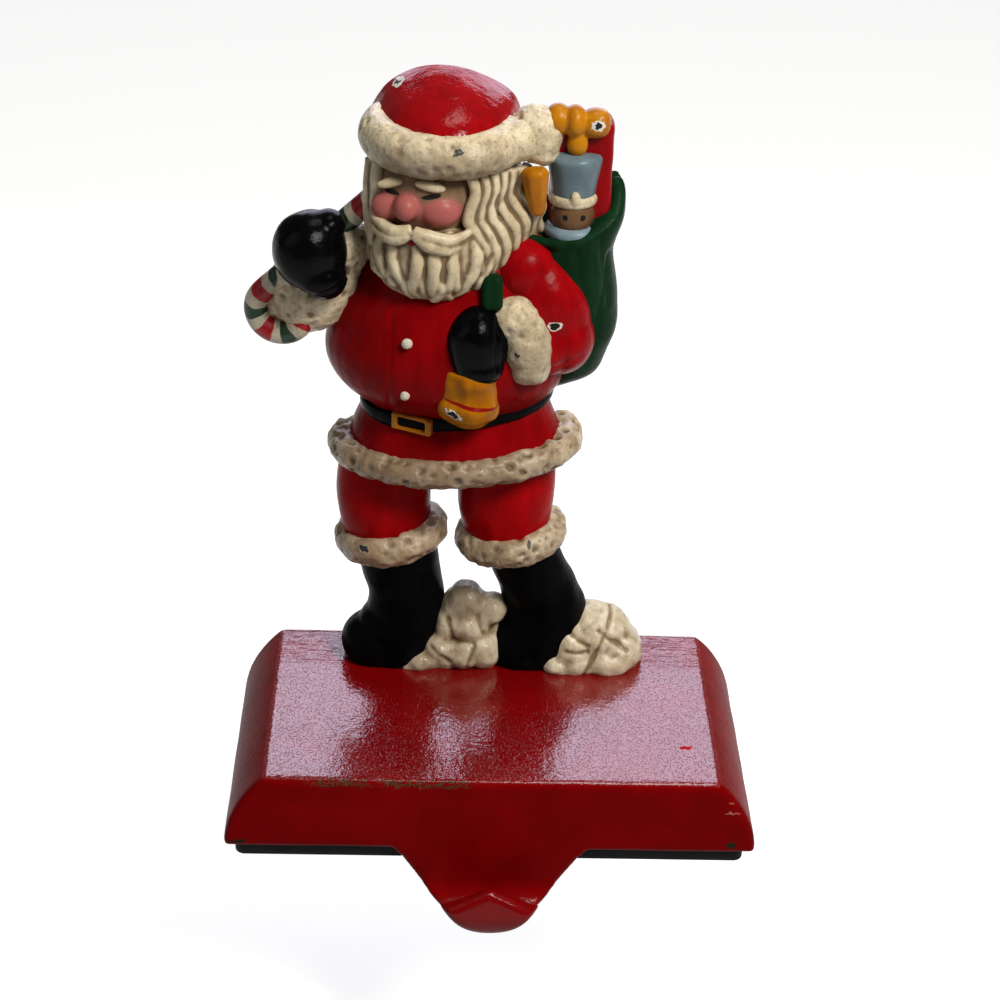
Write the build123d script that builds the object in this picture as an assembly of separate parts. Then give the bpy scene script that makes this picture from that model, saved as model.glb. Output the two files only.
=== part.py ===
from build123d import *
import os
from math import atan2, cos, degrees, pi, radians, sin

# Mantel stocking holder: a cast base with a hook tongue, and a Father Christmas casting screwed to it.
# Millimetres. X runs to the viewer's right, Y to the wall, Z up. The origin is the centre of the seat,
# on the underside of the pad, where the holder stands on the mantel.

# Base casting
base_width = 108.0
base_depth = 55.0
base_height = 17.0
side_inset = 8.4          # how far the top edge stands in from the foot, on each side
side_bulge = 1.7          # how far the curved side stands out from a straight chamfer
side_land = 1.6           # upright band along the foot of each side
base_edge = 0.7           # bevel round the front and the back

# Hook tongue, which hangs from the front face
tongue_width = 39.0
tongue_thickness = 4.2
hook_inner_radius = 4.0
hook_drop = 16.0          # from the underside of the base to the lowest point
nose_half_width = 12.2    # of the round nose, where it meets the tapered sides
nose_top_drop = 11.4      # from the underside of the base to that place
nose_drop = 17.9          # from the underside of the base to the foot of the nose's round
nose_draw = 25.0          # degrees that the nose is drawn in towards the lip
lip_peak_drop = 2.1       # from the underside of the base to the lip's middle point
lip_shoulder_drop = 6.6
lip_half_width = 9.4
lip_tip_thickness = 3.0

# Seat pad
pad_thickness = 3.5
pad_inset = 2.0
pad_corner_radius = 2.0
pad_tongue_gap = 0.5

# Screws that hold the figure down, one under each boot
screw_radius = 2.0
screw_grip = 8.0          # length inside the figure
screw_head_radius = 3.6
screw_head_height = 2.6
screw_slot_width = 1.0
screw_slot_depth = 1.1
screw_clearance = 0.25    # round the screw, in the base
thread_clearance = 0.05   # round the screw, in the figure
head_sink = 0.4           # how far the heads lie inside the underside

# Figure. Depths are measured forwards from its flat back, heights from the top of the base.
back_inset = 2.5          # from the wall side of the base to the flat back
carver_flat = 2.8         # width of the flats that round forms are carved with
body_x = -9.4
body_depth = 5.0
hem_z = 53.4
belt_z = 63.6
belly_z = 74.5
chest_z = 85.0
shoulder_z = 94.0
neck_z = 101.0
coat_flatness = 0.74      # depth of the coat for its width
belly_shift = -1.0        # how far the belly hangs to the left of the waist
skirt_half_width = 22.4
waist_half_width = 18.8
belly_half_width = 25.7
chest_half_width = 22.8
shoulder_half_width = 17.5
neck_half_width = 9.0

fur_radius = 3.4          # of the fur rolls
hem_half_width = 22.8     # to the middle of the fur
hem_flatness = 0.66
hem_shift = 0.9           # of the waist and the hem, to the right of the chest
hem_lean = -2.4
belt_half_height = 2.2
belt_stand = 1.2          # how far the belt stands out from the waist
belt_lean = -6.0
buckle_width = 8.6
buckle_height = 5.6
buckle_frame = 1.4
buckle_stand = 1.2
buckle_angle = -26.5      # round the waist from straight ahead
button_radius = 1.3
button_stand = 0.7
button_angle = -18.0
button_drop = 3.4         # from the middle of the belly to the lower button
button_spacing = 10.6

# Head and hat
head_x = -11.6
head_depth = 9.0
head_flatness = 0.78
hair_half_width = 16.2
hair_spread = 1.6         # how far the hair's foot spreads to the right
hair_foot_half_width = 14.6
hair_top_half_width = 13.6
hair_foot_z = 95.0
cheek_z = 106.0
beard_x = -13.4
beard_depth = 12.0
beard_flatness = 0.86
beard_half_width = 12.8
beard_full_z = 96.0
beard_top_z = 104.5
beard_foot_z = 90.2
beard_foot_half_width = 7.4
strand_depth = 0.09       # of the grooves between strands, as a share of the half width
face_angle = -26.0        # the way the face is turned from straight ahead
nose_radius = 2.8
nose_z = 109.3
cheek_half_width = 3.4
cheek_half_height = 3.0
cheek_stand = 1.0
cheek_spread = 26.0
cheek_drop = 1.0
moustache_half_width = 4.8
moustache_half_height = 2.1
moustache_stand = 2.4
moustache_drop = 4.2
moustache_spread = 21.0
moustache_slope = 14.0
brow_half_width = 2.8
brow_half_height = 0.9
brow_stand = 0.9
brow_rise = 3.9
brow_spread = 17.0
rim_x = -12.3
rim_depth = 8.0
rim_z = 120.0
rim_half_width = 12.4     # to the middle of the fur
rim_flatness = 0.98
hat_half_width = 14.6
hat_half_depth = 14.0
hat_height = 11.9         # above the middle of the rim
pompom_radius = 5.1
pompom_overlap = 3.0      # how far the pompom sits into the rim's end

# Raised arm, whose mitten holds a candy cane by its shank
raised_hand_x = -37.3
raised_hand_depth = 14.8
raised_hand_z = 97.5
mitten_half_width = 7.4
mitten_half_height = 8.1
raised_cuff_half_width = 10.0
raised_cuff_half_depth = 7.5
raised_cuff_half_height = 13.6
raised_cuff_drop = 7.4    # from the middle of the mitten to the middle of the cuff
raised_cuff_right = 1.6
raised_cuff_lean = 26.0
raised_cuff_set_back = 6.5
cane_radius = 2.4
cane_set_back = 5.3       # from the middle of the mitten
crook_radius = 4.8
crook_left = 6.3          # from the middle of the mitten to the middle of the crook
crook_drop = 14.2
crook_turn = 194.0
cane_angle = 43.0         # of the shank, above the horizontal
shank_length = 31.0

# Lowered arm, whose mitten holds a bell against the belly
arm_x = 8.8
arm_depth = 9.5
arm_z = 84.6
arm_half_width = 8.7
arm_half_depth = 10.0
arm_half_length = 13.5
arm_lean = -20.0
elbow_x = 12.4
elbow_z = 78.0
hand_x = -5.0
hand_depth = 21.0
hand_z = 81.6
hand_half_width = 6.4
hand_half_height = 7.8
forearm_radius = 6.6
cuff_place = 0.52         # along the forearm, from the elbow to the hand
cuff_radius = 5.6         # to the middle of the fur
bell_radius = 5.7
bell_shoulder_radius = 4.6
bell_height = 6.6
bell_groove = 0.7
bell_foot_height = 4.8
bell_set_left = 1.0
bell_overlap = 3.2        # how far the bell reaches up into the mitten
strap_width = 3.4
strap_height = 9.0
strap_thickness = 4.0
strap_x = -2.3
strap_z = 92.5

# Sack over the shoulder, and the toys in its mouth
sack_x = 11.2
sack_depth = 4.6
sack_flatness = 0.86
sack_foot_z = 65.6
sack_low_z = 70.0
sack_full_z = 78.0
sack_neck_z = 96.5
sack_flare_z = 104.5
sack_top_z = 111.2
sack_foot_half_width = 4.5
sack_low_half_width = 9.4
sack_half_width = 11.6
sack_neck_half_width = 9.4
sack_flare_half_width = 10.0
sack_top_half_width = 8.4
sack_mouth_shift = 2.2    # how far the mouth stands to the right of the sack's middle
mouth_dip = 10.4          # how far the mouth's edge dips at the front
soldier_x = 13.0
soldier_depth = 10.2
soldier_half_width = 6.2
soldier_neck_z = 101.4
soldier_face_radius = 4.3
shako_z = 108.6
shako_radius = 3.9
shako_top_radius = 4.9
shako_height = 9.0
box_x = 14.6
box_width = 11.8
box_depth = 9.0
box_top_z = 122.2
toy_radius = 2.5
toy_spacing = 3.6
horn_x = 5.4
horn_depth = 11.0
horn_z = 104.6
horn_height = 11.4
horn_radius = 2.7
horn_tip_radius = 1.1
horn_lean = -9.0

# Legs, boots and snow
leg_depth = 5.5
leg_flatness = 0.95
leg_half_width = 9.5
leg_foot_half_width = 8.5
left_leg_x = -23.0
right_leg_x = 2.6
boot_top_z = 30.6
boot_cuff_half_width = 8.4
left_cuff_x = -21.6
right_cuff_x = 3.6
boot_cuff_lean = -8.5
boot_flatness = 0.98
boot_top_half_width = 8.4
ankle_half_width = 7.7
boot_foot_half_width = 8.5
ankle_z = 14.0
left_ankle_x = -18.0
right_ankle_x = 10.8
left_toe_x = -25.0
toe_depth = 6.2
toe_half_width = 7.2
toe_height = 10.5
snow_depth = 5.4
drift_x = -7.8
drift_half_width = 10.6
drift_height = 11.5
peak_x = -4.8
peak_half_width = 7.9
peak_height = 17.8
bank_x = 22.0
bank_half_width = 10.4
bank_height = 14.2

# Planes of the casting
underside_z = pad_thickness
top_z = underside_z + base_height
front_y = -base_depth / 2
back_y = base_depth / 2 - back_inset


def at(x, depth, z, lean=0.0):
    # a place on the figure; the lean is in degrees to the viewer's right
    return Pos(x, back_y - depth, top_z + z) * Rot(0, lean, 0)


def on_round(x, depth, z, half_width, half_depth, angle):
    # a place on a form that is an ellipse in plan, with its axis pointing straight out of it
    a = radians(angle)
    turn = degrees(atan2(half_depth * sin(a), half_width * cos(a)))
    return at(x + half_width * sin(a), depth + half_depth * cos(a), z) * Rot(0, 0, turn) * Rot(90, 0, 0)


def carved(rings):
    # a closed form between rings of points, in plane flats like a carver's
    faces = [Face(Wire.make_polygon(rings[0])), Face(Wire.make_polygon(rings[-1]))]
    for low, high in zip(rings, rings[1:]):
        for i in range(len(low)):
            corners = [low[i - 1], low[i], high[i], high[i - 1]]
            faces.append(Face(Wire.make_polygon(corners)))
    return Solid(Shell(faces))


def stack(sections, flatness=1.0, strands=0.0):
    # a form with ellipses as level sections: (x, y, z, half width), with grooves down it for strands
    widest = max(section[3] for section in sections)
    sides = 2 * max(5, round(pi * widest / carver_flat))
    rings = []
    for x, y, z, half_width in sections:
        ring = []
        for i in range(sides):
            a = 2 * pi * i / sides
            reach = half_width * (1 - strands * (i % 2))
            ring.append((x + reach * cos(a), y + flatness * reach * sin(a), z))
        rings.append(ring)
    return carved(rings)


def turned(profile, flatness=1.0, strands=0.0):
    # a stack about one axis: (half width, height)
    return stack([(0, 0, z, half_width) for half_width, z in profile], flatness, strands)


def pebble(half_x, half_y, half_z, strands=0.0):
    bands = max(2, round(pi / 2 * half_z / carver_flat))
    step = pi / (2 * bands + 1)
    angles = [step * (i - bands) for i in range(2 * bands + 1)]
    return turned([(half_x * cos(a), half_z * sin(a)) for a in angles], half_y / half_x, strands)


def roll(half_width, flatness=1.0):
    # a fur roll round a limb, given to the middle of the fur
    angles = [radians(a) for a in (-90, -54, -18, 18, 54, 90)]
    return turned([(half_width + fur_radius * cos(a), fur_radius * sin(a)) for a in angles], flatness)


def side_profile():
    # the base seen from the front: flat top and foot, curved sides
    foot, top = base_width / 2, base_width / 2 - side_inset
    low, high = underside_z + side_land, top_z
    run, rise = foot - top, high - low
    length = (run**2 + rise**2) ** 0.5
    bulge_x = (foot + top) / 2 + side_bulge * rise / length
    bulge_z = (low + high) / 2 + side_bulge * run / length
    edges = [
        ThreePointArc((foot, low), (bulge_x, bulge_z), (top, high)),
        Line((top, high), (-top, high)),
        ThreePointArc((-top, high), (-bulge_x, bulge_z), (-foot, low)),
        Line((-foot, low), (-foot, underside_z)),
        Line((-foot, underside_z), (foot, underside_z)),
        Line((foot, underside_z), (foot, low)),
    ]
    return make_face(edges)


def base_block():
    block = extrude(Plane.XZ * side_profile(), amount=base_depth / 2, both=True)
    return chamfer(block.faces().filter_by(Axis.Y).edges(), base_edge)


def hook_section():
    # the J of the tongue, seen from the side: (y, z) from the front face and the underside
    centre_z = hook_inner_radius + tongue_thickness - hook_drop
    inside = -2 * hook_inner_radius
    outside = inside - tongue_thickness
    tip = inside - lip_tip_thickness
    root = base_height / 2
    edges = [
        Line((tongue_thickness, root), (tongue_thickness, centre_z)),
        ThreePointArc((tongue_thickness, centre_z), (-hook_inner_radius, -hook_drop), (outside, centre_z)),
        Line((outside, centre_z), (tip, -lip_peak_drop)),
        Line((tip, -lip_peak_drop), (inside, -lip_peak_drop)),
        Line((inside, -lip_peak_drop), (inside, centre_z)),
        ThreePointArc((inside, centre_z), (-hook_inner_radius, tongue_thickness - hook_drop), (0, centre_z)),
        Line((0, centre_z), (0, root)),
        Line((0, root), (tongue_thickness, root)),
    ]
    return make_face(edges)


def hook_outline():
    # the tongue seen from the front: wide at the base, drawn in to a round nose
    half = tongue_width / 2
    nose = nose_half_width
    root = base_height / 2
    edges = [
        Line((half, root), (half, 0)),
        Line((half, 0), (nose, -nose_top_drop)),
        ThreePointArc((nose, -nose_top_drop), (0, -nose_drop), (-nose, -nose_top_drop)),
        Line((-nose, -nose_top_drop), (-half, 0)),
        Line((-half, 0), (-half, root)),
        Line((-half, root), (half, root)),
    ]
    return make_face(edges)


def over_the_lip():
    # what is taken off above the lip, so that it rises to a point in the middle
    points = [
        (0, -lip_peak_drop),
        (lip_half_width, -lip_shoulder_drop),
        (tongue_width, -lip_shoulder_drop),
        (tongue_width, 0),
        (-tongue_width, 0),
        (-tongue_width, -lip_shoulder_drop),
        (-lip_half_width, -lip_shoulder_drop),
    ]
    return make_face(Polyline(*points, close=True))


def hook():
    reach = 2 * hook_inner_radius + tongue_thickness
    bar = extrude(Plane.YZ * hook_section(), amount=tongue_width, both=True)
    bar -= Pos(0, -hook_inner_radius, 0) * extrude(Plane.XZ * over_the_lip(), amount=reach)
    outline = Plane.XZ * hook_outline()
    bar &= extrude(outline, amount=reach, taper=nose_draw) + extrude(outline, amount=-tongue_thickness)
    return Pos(0, front_y, underside_z) * bar


def screw_places():
    # under the two boots, on the underside of the base
    return [Pos(x, back_y - leg_depth, underside_z) for x in (left_ankle_x, right_ankle_x)]


def upright(radius, low, high):
    return Pos(0, 0, low) * Cylinder(radius, high - low, align=(Align.CENTER, Align.CENTER, Align.MIN))


def screw():
    # a slotted cheese-head screw, head down
    head = upright(screw_head_radius, head_sink, head_sink + screw_head_height)
    shank = upright(screw_radius, head_sink, base_height + screw_grip)
    slot = Box(3 * screw_head_radius, screw_slot_width, 2 * screw_slot_depth)
    return head + shank - Pos(0, 0, head_sink) * slot


def screw_way(clearance):
    # the counterbore and the bore that a screw passes through
    room = screw_head_radius
    counterbore = upright(screw_head_radius + clearance, -room, head_sink + screw_head_height)
    return counterbore + upright(screw_radius + clearance, 0, base_height + screw_grip + clearance)


def base_casting():
    casting = base_block() + hook()
    for place in screw_places():
        casting -= place * screw_way(screw_clearance)
    return casting


def seat_pad():
    width, depth = base_width - 2 * pad_inset, base_depth - 2 * pad_inset
    sheet = extrude(RectangleRounded(width, depth, pad_corner_radius), amount=pad_thickness)
    # the notch follows the tongue's tapered sides, a gap away from them
    half = tongue_width / 2 + pad_tongue_gap
    draw = pad_thickness * (tongue_width / 2 - nose_half_width) / nose_top_drop
    corners = [
        (half + draw, 2 * pad_thickness),
        (half - 2 * draw, -pad_thickness),
        (2 * draw - half, -pad_thickness),
        (-half - draw, 2 * pad_thickness),
    ]
    notch = extrude(Plane.XZ * make_face(Polyline(*corners, close=True)), amount=base_depth)
    return sheet - Pos(0, front_y + tongue_thickness + pad_tongue_gap, 0) * notch


def coat_sections():
    belly_foot = (waist_half_width + 3 * belly_half_width) / 4
    return [
        (hem_shift, 0, hem_z - fur_radius / 2, skirt_half_width),
        (hem_shift, 0, belt_z, waist_half_width),
        (belly_shift, 0, (belt_z + belly_z) / 2, belly_foot),
        (belly_shift, 0, belly_z, belly_half_width),
        (belly_shift, 0, chest_z, chest_half_width),
        (0, 0, shoulder_z, shoulder_half_width),
        (0, 0, neck_z, neck_half_width),
    ]


def coat():
    return at(body_x, body_depth, 0) * stack(coat_sections(), coat_flatness)


def on_coat(angle, z):
    # a place on the coat at any height, on the slope between the two sections nearest to it
    sections = coat_sections()
    above = next((i for i in range(1, len(sections) - 1) if sections[i][2] > z), len(sections) - 1)
    low, high = sections[above - 1], sections[above]
    share = (z - low[2]) / (high[2] - low[2])
    shift = low[0] + share * (high[0] - low[0])
    half_width = low[3] + share * (high[3] - low[3])
    return on_round(body_x + shift, body_depth, z, half_width, coat_flatness * half_width, angle)


def coat_trim():
    waist_x = body_x + hem_shift
    hem = at(waist_x, body_depth, hem_z, hem_lean) * roll(hem_half_width, hem_flatness)
    belt_half_width = waist_half_width + belt_stand
    edge = [(belt_half_width, -belt_half_height), (belt_half_width, belt_half_height)]
    belt = at(waist_x, body_depth, belt_z, belt_lean) * turned(edge, coat_flatness)
    plate = Box(buckle_width, buckle_height, 2 * buckle_stand)
    window = Box(buckle_width - 2 * buckle_frame, buckle_height - 2 * buckle_frame, 4 * buckle_stand)
    belt_half_depth = coat_flatness * belt_half_width
    place = on_round(waist_x, body_depth, belt_z, belt_half_width, belt_half_depth, buckle_angle)
    trim = [hem, belt, place * Rot(0, 0, -belt_lean) * (plate - window)]
    for i in (0, 1):
        place = on_coat(button_angle, belly_z - button_drop + i * button_spacing)
        trim.append(place * Cylinder(button_radius, 4 * button_stand))
    return trim


def head():
    hair = [
        (hair_spread, 0, hair_foot_z, hair_foot_half_width),
        (hair_spread, 0, (hair_foot_z + cheek_z) / 2, hair_half_width),
        (0, 0, cheek_z, hair_half_width),
        (0, 0, rim_z, hair_top_half_width),
    ]
    beard = [
        (beard_foot_half_width, beard_foot_z),
        ((beard_foot_half_width + 2 * beard_half_width) / 3, (beard_foot_z + beard_full_z) / 2),
        (beard_half_width, beard_full_z),
        (beard_half_width, beard_top_z),
    ]
    return [
        at(head_x, head_depth, 0) * stack(hair, head_flatness),
        at(beard_x, beard_depth, 0) * turned(beard, beard_flatness, strand_depth),
    ]


def face():
    def on_face(angle, z):
        share = max(0, z - cheek_z) / (rim_z - cheek_z)
        half_width = hair_half_width + share * (hair_top_half_width - hair_half_width)
        return on_round(head_x, head_depth, z, half_width, head_flatness * half_width, face_angle + angle)

    features = [on_face(0, nose_z) * pebble(nose_radius, nose_radius, nose_radius)]
    for side in (-1, 1):
        cheek = pebble(cheek_half_width, cheek_half_height, cheek_stand)
        lobe = Rot(0, 0, -side * moustache_slope) * pebble(moustache_half_width, moustache_half_height, moustache_stand)
        brow = pebble(brow_half_width, brow_half_height, brow_stand)
        features.append(on_face(side * cheek_spread, nose_z - cheek_drop) * cheek)
        features.append(on_face(side * moustache_spread, nose_z - moustache_drop) * lobe)
        features.append(on_face(side * brow_spread, nose_z + brow_rise) * brow)
    return features


def hat():
    pompom_x = rim_x + rim_half_width + fur_radius + pompom_radius - pompom_overlap
    return [
        at(rim_x, rim_depth, rim_z) * pebble(hat_half_width, hat_half_depth, hat_height),
        at(rim_x, rim_depth, rim_z) * roll(rim_half_width, rim_flatness),
        at(pompom_x, rim_depth, rim_z) * pebble(pompom_radius, pompom_radius, pompom_radius, strand_depth),
    ]


def raised_arm():
    mitten = pebble(mitten_half_width, mitten_half_width, mitten_half_height)
    cuff = pebble(raised_cuff_half_width, raised_cuff_half_depth, raised_cuff_half_height)
    cuff_x = raised_hand_x + raised_cuff_right
    cuff_depth = raised_hand_depth - raised_cuff_set_back
    return [
        at(raised_hand_x, raised_hand_depth, raised_hand_z) * mitten,
        at(cuff_x, cuff_depth, raised_hand_z - raised_cuff_drop, raised_cuff_lean) * cuff,
    ]


def candy_cane():
    # an eight-sided bar whose straight shank runs on into the crook
    steps = round(radians(crook_turn) * crook_radius / carver_flat)
    corners = [radians(22.5 + 45 * i) for i in range(8)]
    section = [(crook_radius + cane_radius * cos(a), 0, cane_radius * sin(a)) for a in corners]
    rings = [[(x, -shank_length, z) for x, y, z in section]]
    for i in range(steps + 1):
        a = radians(crook_turn) * i / steps
        rings.append([(x * cos(a), x * sin(a), z) for x, y, z in section])
    middle = at(raised_hand_x - crook_left, raised_hand_depth - cane_set_back, raised_hand_z - crook_drop)
    return middle * Rot(90, 0, 0) * Rot(0, 0, 90 + cane_angle) * carved(rings)


def lowered_arm():
    sleeve = at(arm_x, arm_depth, arm_z, arm_lean) * pebble(arm_half_width, arm_half_depth, arm_half_length)
    elbow = at(elbow_x, arm_depth, elbow_z).position
    hand = at(hand_x, hand_depth, hand_z)
    along = Plane(origin=elbow, z_dir=hand.position - elbow)
    reach = (hand.position - elbow).length
    forearm = along * turned([(forearm_radius, 0), (forearm_radius, reach)])
    cuff = along * Pos(0, 0, cuff_place * reach) * roll(cuff_radius)
    mitten = hand * pebble(hand_half_width, hand_half_width, hand_half_height)
    return [sleeve, forearm, cuff, mitten]


def bell():
    low = bell_radius - bell_groove
    foot = hand_z - hand_half_height + bell_overlap - bell_height
    profile = [
        (low / 2, -bell_foot_height),
        (0.9 * low, -0.55 * bell_foot_height),
        (low, -bell_groove),
        (low, 0),
        (bell_radius, bell_groove),
        (bell_shoulder_radius, bell_height),
    ]
    return at(hand_x - bell_set_left, hand_depth, foot) * turned(profile)


def strap():
    half_depth = coat_flatness * (chest_half_width + shoulder_half_width) / 2
    return at(strap_x, body_depth + half_depth, strap_z) * Box(strap_width, strap_thickness, strap_height)


def sack():
    mouth_x = sack_mouth_shift
    cloth = stack([
        (-sack_mouth_shift, 0, sack_foot_z, sack_foot_half_width),
        (-sack_mouth_shift / 2, 0, sack_low_z, sack_low_half_width),
        (0, 0, sack_full_z, sack_half_width),
        (mouth_x / 2, 0, sack_neck_z, sack_neck_half_width),
        (mouth_x, 0, sack_flare_z, sack_flare_half_width),
        (mouth_x, 0, sack_top_z, sack_top_half_width),
    ], sack_flatness)
    dip_z = sack_top_z - mouth_dip
    reach = sack_flatness * sack_flare_half_width
    front = at(sack_x + mouth_x, sack_depth + reach, dip_z).position
    left = at(sack_x - sack_half_width / 2, sack_depth + reach, dip_z).position
    side = at(sack_x + mouth_x + sack_top_half_width, sack_depth, sack_top_z).position
    mouth = Plane(origin=front, z_dir=(side - front).cross(left - front))
    return split(at(sack_x, sack_depth, 0) * cloth, bisect_by=mouth, keep=Keep.BOTTOM)


def toys():
    soldier = turned([
        (soldier_half_width, sack_neck_z),
        (soldier_half_width, soldier_neck_z - soldier_half_width / 4),
        (0.8 * soldier_face_radius, soldier_neck_z),
        (soldier_face_radius, (2 * soldier_neck_z + shako_z) / 3),
        (soldier_face_radius, (soldier_neck_z + 2 * shako_z) / 3),
        (shako_radius, shako_z),
        (shako_top_radius, shako_z + shako_height - shako_top_radius / 5),
        (0.8 * shako_top_radius, shako_z + shako_height),
    ])
    parcel = Box(box_width, box_depth, box_top_z - sack_neck_z, align=(Align.CENTER, Align.MAX, Align.MAX))
    horn = turned([(horn_tip_radius, -horn_height / 2), (horn_tip_radius, 0), (horn_radius, horn_height)])
    pieces = [
        at(soldier_x, soldier_depth, 0) * soldier,
        at(box_x, 0, box_top_z) * parcel,
        at(horn_x, horn_depth, horn_z, horn_lean) * horn,
    ]
    for i in (-1, 0, 1):
        lump = pebble(toy_radius, toy_radius, toy_radius)
        pieces.append(at(box_x - toy_radius / 2 + i * toy_spacing, box_depth, box_top_z + toy_radius / 2) * lump)
    return pieces


def legs():
    trouser = turned([
        (leg_foot_half_width, boot_top_z),
        (leg_half_width, (boot_top_z + hem_z) / 2),
        (leg_half_width, hem_z),
    ], leg_flatness)
    return [at(x, leg_depth, 0) * trouser for x in (left_leg_x, right_leg_x)]


def boots():
    pieces = []
    for cuff_x, ankle_x in ((left_cuff_x, left_ankle_x), (right_cuff_x, right_ankle_x)):
        shaft = stack([
            (ankle_x, 0, -1, boot_foot_half_width),
            (ankle_x, 0, ankle_z / 4, boot_foot_half_width),
            (ankle_x, 0, ankle_z, ankle_half_width),
            ((ankle_x + cuff_x) / 2, 0, (ankle_z + boot_top_z) / 2, ankle_half_width),
            (cuff_x, 0, boot_top_z, boot_top_half_width),
        ], boot_flatness)
        pieces.append(at(0, leg_depth, 0) * shaft)
        pieces.append(at(cuff_x, leg_depth, boot_top_z, boot_cuff_lean) * roll(boot_cuff_half_width))
    pieces.append(at(left_toe_x, toe_depth, 0) * pebble(toe_half_width, toe_half_width, toe_height))
    return pieces


def snow():
    drifts = (
        (drift_x, drift_half_width, drift_height),
        (peak_x, peak_half_width, peak_height),
        (bank_x, bank_half_width, bank_height),
    )
    return [at(x, snow_depth, 0) * pebble(w, min(w, toe_half_width), h) for x, w, h in drifts]


def father_christmas():
    forms = coat_trim() + head() + face() + hat() + raised_arm() + [candy_cane()]
    forms += lowered_arm() + [bell(), strap(), sack()] + toys() + legs() + boots() + snow()
    figure = Part() + coat() + forms
    room = 2 * base_width
    figure &= at(0, room / 2, room / 2) * Box(2 * room, room, room)
    for place in screw_places():
        figure -= place * screw_way(thread_clearance)
    return figure


if __name__ == "__main__":
    os.makedirs("parts", exist_ok=True)
    export_step(base_casting(), "parts/base.step")
    export_step(father_christmas(), "parts/figure.step")
    export_step(Compound(children=[place * screw() for place in screw_places()]), "parts/figure_screws.step")
    export_step(seat_pad(), "parts/seat_pad.step")
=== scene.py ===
from math import cos, pi, radians, sin

import bmesh
import bpy
import numpy as np
from mathutils import Euler, Matrix, Vector, noise


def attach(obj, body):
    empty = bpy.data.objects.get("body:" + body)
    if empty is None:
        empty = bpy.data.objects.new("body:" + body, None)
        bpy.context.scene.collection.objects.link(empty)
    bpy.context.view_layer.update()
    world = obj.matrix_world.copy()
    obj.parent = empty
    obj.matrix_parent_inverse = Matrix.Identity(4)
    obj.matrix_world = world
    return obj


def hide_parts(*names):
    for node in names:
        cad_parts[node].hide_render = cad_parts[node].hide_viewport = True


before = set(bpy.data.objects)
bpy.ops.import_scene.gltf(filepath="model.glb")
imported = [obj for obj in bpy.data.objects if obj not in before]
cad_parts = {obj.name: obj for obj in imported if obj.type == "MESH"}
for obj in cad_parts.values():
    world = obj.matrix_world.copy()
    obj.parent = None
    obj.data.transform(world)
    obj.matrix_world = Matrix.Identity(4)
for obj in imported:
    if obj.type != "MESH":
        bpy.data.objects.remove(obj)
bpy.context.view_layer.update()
scene = bpy.context.scene

# the figure is shaped in millimetres: x to the viewer's right, depth forwards from its flat back, z up from
# the top of the base
figureBack, baseTop = 25.0, 20.5
millimetres = Matrix.Diagonal((0.001, 0.001, 0.001, 1))
figurePlace = millimetres @ Matrix.Translation((0, figureBack, baseTop))


def spotAt(x, depth, z):
    return figurePlace @ Vector((x, -depth, z))


def markAt(x, depth, z, radii, tone, **more):
    # an oval of another colour in a paint
    return {"place": spotAt(x, depth, z), "radii": radii, "tone": tone, **more}


def chipAt(x, depth, z, radii, rim, **more):
    # a place where a paint has gone, with the primer showing round its rim
    return {"place": spotAt(x, depth, z), "radii": radii, "rim": rim, **more}


# mesh helpers

def through(stations, steps):
    # a smooth run through a few stations, each a row of numbers
    run = []
    ends = [stations[0], *stations, stations[-1]]
    for a, b, c, d in zip(ends, ends[1:], ends[2:], ends[3:]):
        for i in range(steps):
            t = i / steps
            run.append([0.5 * (2 * q + (r - p) * t + (2 * p - 5 * q + 4 * r - s) * t**2
                               + (3 * q - p - 3 * r + s) * t**3) for p, q, r, s in zip(a, b, c, d)])
    run.append(list(stations[-1]))
    return run


def bridged(places, sides):
    # unit rings set at each place, joined into one closed skin
    bm = bmesh.new()
    last = None
    for place in places:
        ring = bmesh.ops.create_circle(bm, cap_ends=False, segments=sides, radius=1, matrix=place)["verts"]
        edges = list({e for v in ring for e in v.link_edges})
        if last:
            bmesh.ops.bridge_loops(bm, edges=last + edges)
        last = edges
    bmesh.ops.holes_fill(bm, edges=bm.edges, sides=sides)
    bmesh.ops.recalc_face_normals(bm, faces=bm.faces)
    return bm


def loft(sections, steps=4, sides=40):
    # level sections: x, depth, z, half width, half depth
    run = through(sections, steps)
    places = [Matrix.Translation((x, -d, z)) @ Matrix.Diagonal((w, h, 1, 1)) for x, d, z, w, h in run]
    return bridged(places, sides)


def strand(stations, steps=5, sides=10):
    # a round rod along stations: x, depth, z, radius
    run = [(Vector((x, -d, z)), r) for x, d, z, r in through(stations, steps)]
    places = []
    for i, (p, r) in enumerate(run):
        way = run[min(i + 1, len(run) - 1)][0] - run[max(i - 1, 0)][0]
        turn = way.to_track_quat("Z", "Y").to_matrix().to_4x4()
        places.append(Matrix.Translation(p) @ turn @ Matrix.Diagonal((r, r, 1, 1)))
    return bridged(places, sides)


def ball(x, depth, z, w, h, t, lean=0, pitch=0, sides=32):
    bm = bmesh.new()
    turn = Euler((radians(pitch), radians(lean), 0)).to_matrix().to_4x4()
    place = Matrix.Translation((x, -depth, z)) @ turn @ Matrix.Diagonal((w, h, t, 1))
    bmesh.ops.create_uvsphere(bm, u_segments=sides, v_segments=sides // 2, radius=1, matrix=place)
    return bm


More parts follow.
